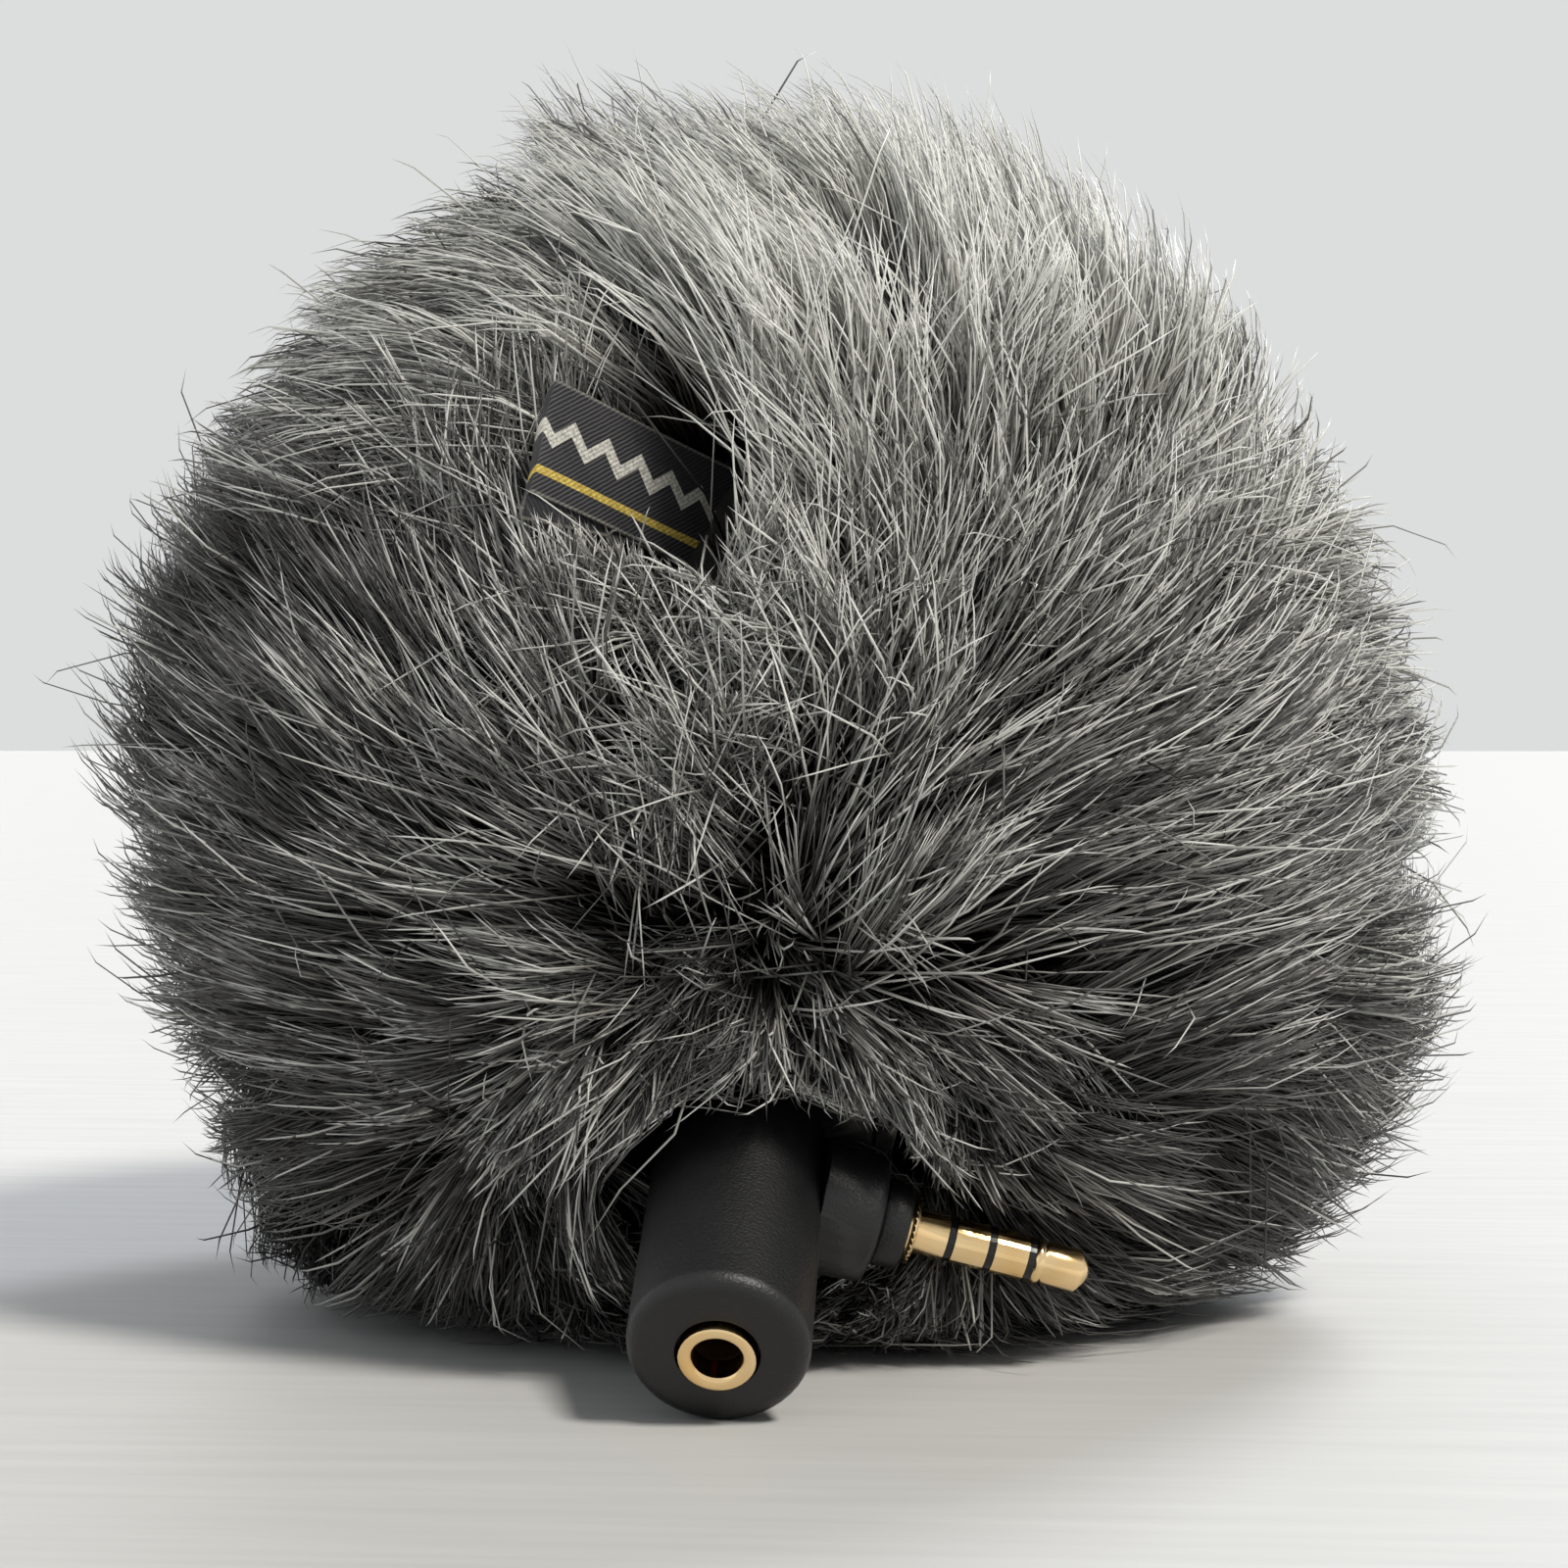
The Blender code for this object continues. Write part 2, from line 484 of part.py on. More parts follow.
def electronics(parent, board_green, black, aluminium, copper):
    low_x = -BOARD_OFFSET - BOARD_THICKNESS / 2
    high_x = low_x + BOARD_THICKNESS
    half_width = math.sqrt(NECK_BORE**2 - low_x**2) - FIT
    board = block((low_x, -half_width, BOARD_START), (high_x, half_width, BOARD_END))
    piece("circuit_board", softened(board, BOARD_EDGE), parent, board_green)

    top = high_x + FIT
    across, along = TERMINAL_SIZE
    pin_end = BOOT_REACH - PIN_TAIL
    terminal = block(
        (top, -across / 2, PLUG_STATION - along / 2), (pin_end - FIT, across / 2, PLUG_STATION + along / 2)
    )
    piece("plug_terminal", softened(terminal, TERMINAL_EDGE), parent, black)

    width, height, length = CHIP_SIZE
    chip = block((top, -width / 2, CHIP_END - length), (top + height, width / 2, CHIP_END))
    piece("preamp_chip", softened(chip, CHIP_EDGE), parent, black)
    can_top = top + CAPACITOR_HEIGHT
    rounding = CAPACITOR_ROUNDING
    neck = top + CAPACITOR_NECK
    can = [
        (0, top),
        (CAPACITOR_RADIUS, top),
        (CAPACITOR_RADIUS, neck - CAPACITOR_NECK_DEPTH),
        (CAPACITOR_RADIUS - CAPACITOR_NECK_DEPTH, neck),
        (CAPACITOR_RADIUS, neck + CAPACITOR_NECK_DEPTH),
        *arc(CAPACITOR_RADIUS - rounding, can_top - rounding, rounding, 0, 90, 3),
        (0, can_top),
    ]
    for i in range(CAPACITOR_COUNT):
        at = (0, 0, CAPACITOR_STATION - i * CAPACITOR_PITCH)
        piece(f"capacitor_{i + 1}", turned(can, CAN_SEGMENTS, "X", at), parent, aluminium)

    start = BOARD_END + FIT
    end = start + BAFFLE_THICKNESS
    edge = MESH_BORE - FIT
    baffle = piece("baffle", turned([(0, start), (edge, start), (edge, end), (0, end)]), parent, black)
    holes = []
    for side in (-1, 1):
        hole = [
            (0, start - CUT_PAST),
            (LEAD_HOLE_RADIUS, start - CUT_PAST),
            (LEAD_HOLE_RADIUS, end + CUT_PAST),
            (0, end + CUT_PAST),
        ]
        holes.append(turned(hole, HOLE_SEGMENTS, at=(0, side * LEAD_SPREAD, 0)))
    boolean(baffle, "DIFFERENCE", helper("lead_holes", grouped(holes), parent))

    board_top = high_x + FIT + LEAD_RADIUS
    plate_back = CAPSULE_STATION - BACK_PLATE_THICKNESS - 2 * FIT
    for name, side in (("capsule_lead_1", -1), ("capsule_lead_2", 1)):
        y = side * LEAD_SPREAD
        route = [
            Vector((board_top, y, BOARD_END - LEAD_PAD)),
            Vector((board_top, y, BOARD_END - LEAD_LIFT)),
            Vector((0, y, start)),
            Vector((0, y, end)),
            Vector((LEAD_BOW, y, (end + plate_back) / 2)),
            Vector((0, y, plate_back)),
        ]
        wire(name, route, parent, copper)


def wire(name, route, parent, finish):
    curve = bpy.data.curves.new(name, "CURVE")
    curve.dimensions = "3D"
    spline = curve.splines.new("POLY")
    spline.points.add(len(route) - 1)
    for point, place in zip(spline.points, route):
        point.co = (*place, 1)
    curve.bevel_depth = LEAD_RADIUS
    curve.bevel_resolution = 1
    curve.use_fill_caps = True
    curve.materials.append(finish)
    made = bpy.data.objects.new(name, curve)
    bpy.context.collection.objects.link(made)
    made.parent = parent


def head(parent, plastic, black, steel, rubber, brass):
    shell = piece(
        "head_shell", turned(tube(HEAD_RADIUS, SHELL_BORE, SHELL_START, CAP_START - FIT)), parent, plastic
    )
    slots = []
    for band in range(SIDE_SLOT_BANDS):
        start = MICROPHONE_LENGTH - SIDE_SLOT_FROM_FRONT - band * SIDE_SLOT_PITCH
        for i in range(SIDE_SLOT_COUNT):
            slot = block(
                (SHELL_BORE - CUT_PAST, -SIDE_SLOT_WIDTH / 2, start),
                (HEAD_RADIUS + CUT_PAST, SIDE_SLOT_WIDTH / 2, start + SIDE_SLOT_LENGTH),
            )
            slot.transform(Matrix.Rotation(2 * math.pi * (i + 0.5) / SIDE_SLOT_COUNT, 4, "Z"))
            slots.append(slot)
    boolean(shell, "DIFFERENCE", helper("side_slots", grouped(slots), parent))

    spigot_start = CAP_START - CAP_SPIGOT_LENGTH
    spigot_bore = SPIGOT_RADIUS - SPIGOT_WALL
    cap_profile = [
        (0, MICROPHONE_LENGTH - CAP_FACE),
        (spigot_bore, MICROPHONE_LENGTH - CAP_FACE),
        (spigot_bore, spigot_start),
        (SPIGOT_RADIUS, spigot_start),
        (SPIGOT_RADIUS, CAP_START),
        (HEAD_RADIUS, CAP_START),
        *arc(HEAD_RADIUS - CAP_ROUNDING, MICROPHONE_LENGTH - CAP_ROUNDING, CAP_ROUNDING, 0, 90),
        (0, MICROPHONE_LENGTH),
    ]
    cap = piece("front_cap", turned(cap_profile), parent, plastic)
    bars = []
    slotted = spigot_bore - CAP_ROUNDING  # radius of the slotted part of the cap
    for i in range(CAP_SLOT_COUNT):
        y = (2 * i + 1 - CAP_SLOT_COUNT) * slotted / CAP_SLOT_COUNT
        half = math.sqrt(slotted**2 - y**2)
        bars.append(
            block(
                (-half, y - CAP_SLOT_WIDTH / 2, MICROPHONE_LENGTH - CAP_FACE - CUT_PAST),
                (half, y + CAP_SLOT_WIDTH / 2, MICROPHONE_LENGTH + CUT_PAST),
            )
        )
    boolean(cap, "DIFFERENCE", helper("cap_slots", grouped(bars), parent))

    mesh_end = spigot_start - FIT
    piece("grille_mesh", turned(tube(MESH_RADIUS, MESH_BORE, MESH_START, mesh_end)), parent, steel)

    front = CAPSULE_STATION + CAPSULE_LENGTH
    can = [
        (0, CAPSULE_STATION),
        (CAPSULE_RADIUS, CAPSULE_STATION),
        (CAPSULE_RADIUS, front),
        (CAPSULE_RADIUS - CAPSULE_RIM, front),
        (CAPSULE_RADIUS - CAPSULE_RIM, front - CAPSULE_RIM / 2),
        (0, front - CAPSULE_RIM / 2),
    ]
    piece("capsule", turned(can), parent, brass)
    plate_end = CAPSULE_STATION - FIT
    plate_radius = CAPSULE_RADIUS - BACK_PLATE_INSET
    plate = [
        (0, plate_end - BACK_PLATE_THICKNESS),
        (plate_radius, plate_end - BACK_PLATE_THICKNESS),
        (plate_radius, plate_end),
        (0, plate_end),
    ]
    piece("capsule_back_plate", turned(plate, SMALL_SEGMENTS), parent, black)
    bore = CAPSULE_RADIUS + FIT
    mount = [
        (bore - MOUNT_LIP, CAPSULE_STATION - FIT - MOUNT_LIP),
        (MESH_BORE - FIT, CAPSULE_STATION - FIT - MOUNT_LIP),
        (MESH_BORE - FIT, front + FIT + MOUNT_LIP),
        (bore - MOUNT_LIP, front + FIT + MOUNT_LIP),
        (bore - MOUNT_LIP, front + FIT),
        (bore, front + FIT),
        (bore, CAPSULE_STATION - FIT),
        (bore - MOUNT_LIP, CAPSULE_STATION - FIT),
    ]
    piece("capsule_mount", turned(mount), parent, rubber)


def lock_rise(way):
    """How far the pile stands up or lies down at this place, from -1 to 1, in soft slanting locks."""
    return sum(math.sin(LOCK_WAVES * way[i] + LOCK_SLANT * way[i - 1]) for i in range(3)) / 3


def fur_form():
    """The windshield's outer shape, as it lies, with its base pressed flat on the table."""
    shape = bmesh.new()
    bmesh.ops.create_uvsphere(shape, u_segments=FUR_AROUND, v_segments=FUR_UP, radius=1)
    for vert in shape.verts:
        way = vert.co.normalized()
        swell = 1 + LOCK_RISE * lock_rise(way)
        for centre, share, spread in FUR_SWELLS:
            swell += share * math.exp((way.dot(centre.normalized()) - 1) / spread)
        vert.co = FUR_CENTRE + way * FUR_REACH * swell
    everything = shape.verts[:] + shape.edges[:] + shape.faces[:]
    cut = bmesh.ops.bisect_plane(
        shape, geom=everything, dist=1e-7, plane_co=(0, 0, 0), plane_no=(0, 0, -1), clear_outer=True
    )
    rim = [edge for edge in cut["geom_cut"] if isinstance(edge, bmesh.types.BMEdge)]
    bmesh.ops.contextual_create(shape, geom=rim)
    return shape


def label_pocket():
    """The parting in the fur: the label's box with room round it, drawn out to the front."""
    room = LABEL_POCKET_GAP
    thick = LABEL_LAYER + LABEL_GAP / 2 + room
    shape = block(
        (-room, -thick, -LABEL_WIDTH / 2 - room), (LABEL_LENGTH + room, thick, LABEL_WIDTH / 2 + room)
    )
    shape.transform(LABEL_PLACE)
    for vert in shape.verts[:]:
        shape.verts.new(vert.co + LABEL_POCKET_WAY * LABEL_POCKET_DEPTH)
    bmesh.ops.delete(shape, geom=shape.faces[:], context="FACES_ONLY")
    hull = bmesh.ops.convex_hull(shape, input=shape.verts)
    spare = {g for g in hull["geom_interior"] + hull["geom_unused"] if isinstance(g, bmesh.types.BMVert)}
    bmesh.ops.delete(shape, geom=list(spare), context="VERTS")
    return shape


def windshield(parent, fur, elastic, lining_cloth):
    rib = CUFF_LENGTH / (2 * CUFF_RIBS)
    outside = []
    for i in range(2 * CUFF_RIBS + 1):
        bulge = CUFF_RIB_HEIGHT if i % 2 else 0
        outside.append((WRAP_BORE + CUFF_WALL + bulge, CUFF_START + i * rib))
    cuff = [(WRAP_BORE, CUFF_START), *outside, (WRAP_BORE, CUFF_END)]
    piece("elastic_cuff", turned(cuff), parent, elastic)

    lining = [
        (WRAP_BORE, CUFF_END + FIT),
        (LINING_RADIUS, CUFF_END + FIT),
        *arc(LINING_RADIUS - LINING_WALL, LINING_END - LINING_WALL, LINING_WALL, 0, 90, 3),
        (0, LINING_END),
        (0, LINING_END - LINING_WALL),
        (WRAP_BORE, LINING_END - LINING_WALL),
    ]
    piece("windshield_lining", turned_cup(lining), parent, lining_cloth)

    # The dish round the mouth clears the plug's tip
    flare = (CUFF_START - PLUG_STATION - PLUG_RADIUS - PLUG_ROOM) / (PLUG_REACH - MOUTH_RADIUS)
    sleeve = LINING_RADIUS + FIT
    hollow = [
        (0, -MOUTH_REACH),
        (MOUTH_REACH, -MOUTH_REACH),
        (MOUTH_REACH, CUFF_START - flare * (MOUTH_REACH - MOUTH_RADIUS)),
        (MOUTH_RADIUS, CUFF_START),
        (CUFF_ROOM, CUFF_START),
        (CUFF_ROOM, CUFF_END + FIT),
        (sleeve, CUFF_END + FIT),
        (sleeve, LINING_END + FIT),
        (0, LINING_END + FIT),
    ]
    inside = helper("windshield_hollow", turned(hollow), parent)
    as_it_lies = LYING.inverted()
    pocket_shape = label_pocket()
    pocket_shape.transform(as_it_lies)
    pocket = helper("label_pocket", pocket_shape, parent)

    far = 3 * max(FUR_REACH)
    gores = (
        ("fur_upper_left", -1, -1),
        ("fur_upper_right", 1, -1),
        ("fur_lower_left", -1, 1),
        ("fur_lower_right", 1, 1),
    )
    for name, side, under in gores:
        shape = fur_form()
        shape.transform(as_it_lies)
        gore = piece(name, shape, parent, fur)
        corner = Vector((side, under, 0)) * SEAM_GAP / 2
        opposite = Vector((side * far, under * far, far))
        low = Vector((min(corner.x, opposite.x), min(corner.y, opposite.y), -far))
        high = Vector((max(corner.x, opposite.x), max(corner.y, opposite.y), far))
        boolean(gore, "INTERSECT", helper(name + "_quarter", block(low, high), parent))
        boolean(gore, "DIFFERENCE", inside)
        if under < 0:
            boolean(gore, "DIFFERENCE", pocket)


def turned_cup(profile):
    """A turned solid whose profile meets the axis twice, at its outer and its inner end."""
    outer_end = next(i for i, (r, _) in enumerate(profile) if r == 0)
    reordered = profile[outer_end + 1 :] + profile[: outer_end + 1]
    return turned(reordered)


def woven_label(parent, ribbon):
    """A ribbon folded at its free end, as two layers joined by a round fold, open at the sewn end."""
    outer = LABEL_GAP / 2 + LABEL_LAYER
    inner = LABEL_GAP / 2
    steps = 8
    angles = [math.radians(-90 - 180 * i / steps) for i in range(steps + 1)]
    outline = [(LABEL_LENGTH, -outer)]
    outline += [(outer + outer * math.cos(t), outer * math.sin(t)) for t in angles]
    outline += [(LABEL_LENGTH, outer), (LABEL_LENGTH, inner)]
    outline += [(outer + inner * math.cos(t), inner * math.sin(t)) for t in reversed(angles)]
    outline += [(LABEL_LENGTH, -inner)]
    shape = bmesh.new()
    face = shape.faces.new([shape.verts.new((x, y, -LABEL_WIDTH / 2)) for x, y in outline])
    grown = bmesh.ops.extrude_face_region(shape, geom=[face])
    moved = [v for v in grown["geom"] if isinstance(v, bmesh.types.BMVert)]
    bmesh.ops.translate(shape, verts=moved, vec=(0, 0, LABEL_WIDTH))
    shape.transform(LYING.inverted() @ LABEL_PLACE)
    piece("woven_label", shape, parent, ribbon)


def stand_on_origin(root):
    """Moves the whole part so that the middle of its base is at the origin."""
    bpy.context.view_layer.update()
    graph = bpy.context.evaluated_depsgraph_get()
    points = []
    for obj in bpy.context.view_layer.objects:
        if obj.type == "EMPTY" or obj.hide_render:
            continue
        evaluated = obj.evaluated_get(graph)
        points += [evaluated.matrix_world @ vert.co for vert in evaluated.to_mesh().vertices]
        evaluated.to_mesh_clear()
    low = [min(p[i] for p in points) for i in range(3)]
    high = [max(p[i] for p in points) for i in range(3)]
    root.location = (-(low[0] + high[0]) / 2, -(low[1] + high[1]) / 2, -low[2])


def main():
    clear_scene()
    plastic = material("matt_black_plastic", (0.016, 0.016, 0.017), 0.55)
    gold = material("gold_plating", (0.83, 0.60, 0.30), 0.18, 1.0)
    black = material("black_moulding", (0.012, 0.012, 0.012), 0.4)
    brass = material("contact_brass", (0.60, 0.36, 0.18), 0.3, 1.0)
    steel = material("steel_screen", (0.25, 0.25, 0.26), 0.4, 1.0)
    aluminium = material("aluminium_can", (0.6, 0.6, 0.62), 0.35, 1.0)
    rubber = material("soft_rubber", (0.02, 0.02, 0.02), 0.8)
    board_green = material("circuit_board_green", (0.01, 0.09, 0.04), 0.45)
    copper = material("lead_insulation", (0.35, 0.03, 0.02), 0.5)
    fur = material("grey_pile", (0.09, 0.09, 0.09), 0.95)
    elastic = material("black_elastic", (0.01, 0.01, 0.01), 0.9)
    lining_cloth = material("black_lining", (0.012, 0.012, 0.013), 0.95)
    ribbon = material("woven_black_ribbon", (0.012, 0.012, 0.014), 0.8)

    root = empty("part_origin", Matrix())
    slide = empty("windshield_slide", LYING, root)
    microphone = empty("microphone_axis", LYING @ Matrix.Rotation(PLUG_DROP, 4, "Z"), root)
    rear_housing(microphone, plastic)
    plug(microphone, plastic, gold, black)
    socket(microphone, gold, black, brass)
    electronics(microphone, board_green, black, aluminium, copper)
    head(microphone, plastic, black, steel, rubber, brass)
    windshield(slide, fur, elastic, lining_cloth)
    woven_label(slide, ribbon)
    stand_on_origin(root)


main()
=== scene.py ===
import json
import math

import bmesh
import bpy
import numpy as np
from mathutils import Euler, Matrix, Vector
from mathutils.kdtree import KDTree


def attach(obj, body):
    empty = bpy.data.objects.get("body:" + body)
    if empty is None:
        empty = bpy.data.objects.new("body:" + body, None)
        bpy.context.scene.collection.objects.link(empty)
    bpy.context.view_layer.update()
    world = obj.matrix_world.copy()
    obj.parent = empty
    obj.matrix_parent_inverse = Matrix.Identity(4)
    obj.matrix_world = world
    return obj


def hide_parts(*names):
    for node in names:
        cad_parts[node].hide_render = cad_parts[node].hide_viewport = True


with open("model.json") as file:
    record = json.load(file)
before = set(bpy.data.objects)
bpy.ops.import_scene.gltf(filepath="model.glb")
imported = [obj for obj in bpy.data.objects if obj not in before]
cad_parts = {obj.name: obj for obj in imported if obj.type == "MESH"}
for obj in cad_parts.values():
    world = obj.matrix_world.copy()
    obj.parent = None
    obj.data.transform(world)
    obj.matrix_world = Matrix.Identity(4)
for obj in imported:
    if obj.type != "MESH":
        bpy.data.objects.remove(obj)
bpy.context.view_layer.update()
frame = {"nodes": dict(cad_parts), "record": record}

mm = 0.001

# how the microphone lies in the frame, in mm
lie = dict(
    rise=28.5,  # degrees from the table up to its axis
    plugDrop=17.0,  # degrees from level down to the plug, about that axis
    plugStation=19.5,  # from the rear face to the plug's axis
    mountBeside=4.2,  # from the middle of the rear face to its mount, away from the plug
)
rise = math.radians(lie["rise"])
axisWay = Vector((0, math.cos(rise), math.sin(rise)))
upWay = Vector((0, -axisWay.z, axisWay.y))
dropAngle = math.radians(lie["plugDrop"])
plugWay = Vector((math.cos(dropAngle), 0, 0)) - upWay * math.sin(dropAngle)
rearMount = next(row["pos_m"] for row in frame["record"]["mounts"] if row["name"] == "rear_face")
rearFace = Vector(rearMount) / mm + plugWay * lie["mountBeside"]
layTurn = math.radians(lie["rise"] - 90)  # about x, from an axis that points straight up
asItLies = Matrix.Translation(rearFace) @ Matrix.Rotation(layTurn, 4, "X")
slotOf = {row["node"]: row["material_slot"] for row in frame["record"]["subparts"]}


# helpers that every piece uses
def linear(hexColour, alpha=1.0):
    parts = [int(hexColour[i:i + 2], 16) / 255 for i in (1, 3, 5)]
    parts = [c / 12.92 if c <= 0.04045 else ((c + 0.055) / 1.055) ** 2.4 for c in parts]
    return (*parts, alpha)


def addNode(tree, kind, settings=None, links=None):
    return setNode(tree, tree.nodes.new("ShaderNode" + kind), settings, links)


def setNode(tree, made, settings=None, links=None):
    for key, value in (settings or {}).items():
        if key == "stops":  # of a colour ramp, as (place, hex colour)
            ramp = made.color_ramp.elements
            while len(ramp) < len(value):
                ramp.new(0.5)
            for stop, (place, colour) in zip(ramp, value):
                stop.position = place
                stop.color = linear(colour)
        elif isinstance(key, str) and hasattr(made, key):
            setattr(made, key, value)
        else:
            made.inputs[key].default_value = value
    for key, source in (links or {}).items():
        tree.links.new(source, made.inputs[key])
    return made


def newMaterial(name):
    made = bpy.data.materials.new(name)
    made.use_nodes = True
    return made, made.node_tree, made.node_tree.nodes["Principled BSDF"]


def placePiece(mesh, name, material, body):
    made = bpy.data.objects.new(name, mesh)
    bpy.context.collection.objects.link(made)
    mesh.materials.append(material)
    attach(made, body)
    return made


def finishMesh(shape, name, material, body, smoothAngle=35):
    mesh = bpy.data.meshes.new(name)
    shape.to_mesh(mesh)
    shape.free()
    mesh.shade_smooth()
    mesh.set_sharp_from_angle(angle=math.radians(smoothAngle))
    return placePiece(mesh, name, material, body)


# camera where the photograph was taken from, in mm from the rear face
camera = dict(
    fromRear=Vector((18.115, -203.698, 42.718)), tilt=-0.822, turn=3.781, lens=67.574, sensor=36,
    near=0.01, far=20,
)


def makeCamera():
    data = bpy.data.cameras.new("photoCamera")
    data.lens = camera["lens"]
    data.sensor_width = camera["sensor"]
    data.clip_start = camera["near"]
    data.clip_end = camera["far"]
    made = bpy.data.objects.new("photoCamera", data)
    made.location = (rearFace + camera["fromRear"]) * mm
    made.rotation_euler = (math.radians(90 + camera["tilt"]), 0, math.radians(camera["turn"]))
    bpy.context.collection.objects.link(made)
    bpy.context.scene.camera = made
    bpy.context.scene.view_settings.view_transform = "Standard"


floor = dict(size=30.0, colour="#dcdcda", grain="#d3d3d1", grainScale=5.0, stretch=(6, 90, 1), roughness=0.55)


def paintedBoard():
    # white painted table board: matt, with a faint long grain under the paint
    made, tree, shader = newMaterial("paintedBoard")
    onObject = {"Vector": addNode(tree, "TexCoord").outputs["Object"]}
    stretched = {"Vector": addNode(tree, "Mapping", {"Scale": floor["stretch"]}, onObject).outputs[0]}
    grain = addNode(tree, "TexNoise", {"Scale": floor["grainScale"], "Detail": 4.0}, stretched)
    stops = ((0.3, floor["grain"]), (0.7, floor["colour"]))
    tint = addNode(tree, "ValToRGB", {"stops": stops}, {0: grain.outputs["Fac"]})
    setNode(tree, shader, {"Roughness": floor["roughness"]}, {"Base Color": tint.outputs[0]})
    return made


def makeFloor():
    shape = bmesh.new()
    bmesh.ops.create_grid(shape, x_segments=1, y_segments=1, size=floor["size"] / 2)
    mesh = bpy.data.meshes.new("tableTop")
    shape.to_mesh(mesh)
    shape.free()
    made = bpy.data.objects.new("tableTop", mesh)
    mesh.materials.append(paintedBoard())
    bpy.context.collection.objects.link(made)


lamps = dict(  # each a wide soft source, as strong all over the table
    key=dict(way=(-0.60, 0.42, -0.95), spread=12, strength=2.50, colour="#fffaf2"),
    rim=dict(way=(-0.45, -0.85, -0.80), spread=16, strength=1.55, colour="#f4f8ff"),
    fill=dict(way=(0.80, 0.55, -0.45), spread=50, strength=0.15, colour="#f4f8ff"),
    back=dict(way=(0.60, -0.75, -0.45), spread=50, strength=0.50, colour="#f4f8ff"),
)
worldLight = dict(strength=0.25, colour="#e9edf0", backdrop="#dcdddd")


def makeLamps():
    for name, lamp in lamps.items():
        data = bpy.data.lights.new(name + "Lamp", "SUN")
        data.angle = math.radians(lamp["spread"])
        data.energy = lamp["strength"]
        data.color = linear(lamp["colour"])[:3]
        made = bpy.data.objects.new(name + "Lamp", data)
        made.rotation_euler = Vector(lamp["way"]).to_track_quat("-Z", "Y").to_euler()
        bpy.context.collection.objects.link(made)


def makeWorld():
    # a dim even light, behind which the camera and the gloss see a plain pale backdrop
    world = bpy.data.worlds.new("studio")
    bpy.context.scene.world = world
    world.use_nodes = True
    tree = world.node_tree
    tree.nodes.clear()
    rays = addNode(tree, "LightPath")
    seen = addNode(
        tree, "Math", {"operation": "MAXIMUM"},
        {0: rays.outputs["Is Camera Ray"], 1: rays.outputs["Is Glossy Ray"]},
    )
    light = addNode(
        tree, "Background", {"Color": linear(worldLight["colour"]), "Strength": worldLight["strength"]}
    )
    backdrop = addNode(tree, "Background", {"Color": linear(worldLight["backdrop"]), "Strength": 1.0})
    mix = addNode(tree, "MixShader", {}, {0: seen.outputs[0], 1: light.outputs[0], 2: backdrop.outputs[0]})
    addNode(tree, "OutputWorld", {}, {"Surface": mix.outputs[0]})


makeCamera()
makeFloor()
makeLamps()
makeWorld()
print("stage: camera, table and light are set")

# materials of the hard parts, in mm; a grain that is too fine to show is drawn as coarse as it needs to
mouldedLook = dict(rubSize=6.25, smoother=0.05, rougher=0.08, bumpStrength=0.5)
turnedLook = dict(cloudSize=4.545, smoother=0.04, rougher=0.06)


def grainedPlastic(name, colour, paler, roughness, grainSize, depth):
    # a fine even grain that breaks up the sheen, with rubbed, paler spots
    made, tree, shader = newMaterial(name)
    onObject = {"Vector": addNode(tree, "TexCoord").outputs["Object"]}
    grain = addNode(tree, "TexNoise", {"Scale": 1 / (grainSize * mm), "Detail": 2.0}, onObject)
    rub = addNode(tree, "TexNoise", {"Scale": 1 / (mouldedLook["rubSize"] * mm), "Detail": 3.0}, onObject)
    tint = addNode(tree, "ValToRGB", {"stops": ((0.35, colour), (0.75, paler))}, {0: rub.outputs["Fac"]})
    shine = addNode(
        tree, "MapRange",
        {"To Min": roughness - mouldedLook["smoother"], "To Max": roughness + mouldedLook["rougher"]},
        {"Value": grain.outputs["Fac"]},
    )
    bump = addNode(
        tree, "Bump", {"Strength": mouldedLook["bumpStrength"], "Distance": depth * mm},
        {"Height": grain.outputs["Fac"]},
    )
    setNode(
        tree, shader, {"IOR": 1.5, "Specular IOR Level": 0.5},
        {"Base Color": tint.outputs[0], "Roughness": shine.outputs[0], "Normal": bump.outputs[0]},
    )
    return made


def turnedMetal(name, colour, deeper, roughness, markSize=0.08):
    # bright metal with fine tool marks in its sheen and a slightly uneven tint
    made, tree, shader = newMaterial(name)
    onObject = {"Vector": addNode(tree, "TexCoord").outputs["Object"]}
    cloud = addNode(tree, "TexNoise", {"Scale": 1 / (turnedLook["cloudSize"] * mm), "Detail": 2.0}, onObject)
    marks = addNode(tree, "TexNoise", {"Scale": 1 / (markSize * mm), "Detail": 1.0}, onObject)
    tint = addNode(tree, "ValToRGB", {"stops": ((0.3, deeper), (0.7, colour))}, {0: cloud.outputs["Fac"]})
    shine = addNode(
        tree, "MapRange",
        {"To Min": roughness - turnedLook["smoother"], "To Max": roughness + turnedLook["rougher"]},
        {"Value": marks.outputs["Fac"]},
    )
    setNode(tree, shader, {"Metallic": 1.0}, {"Base Color": tint.outputs[0], "Roughness": shine.outputs[0]})
    return made


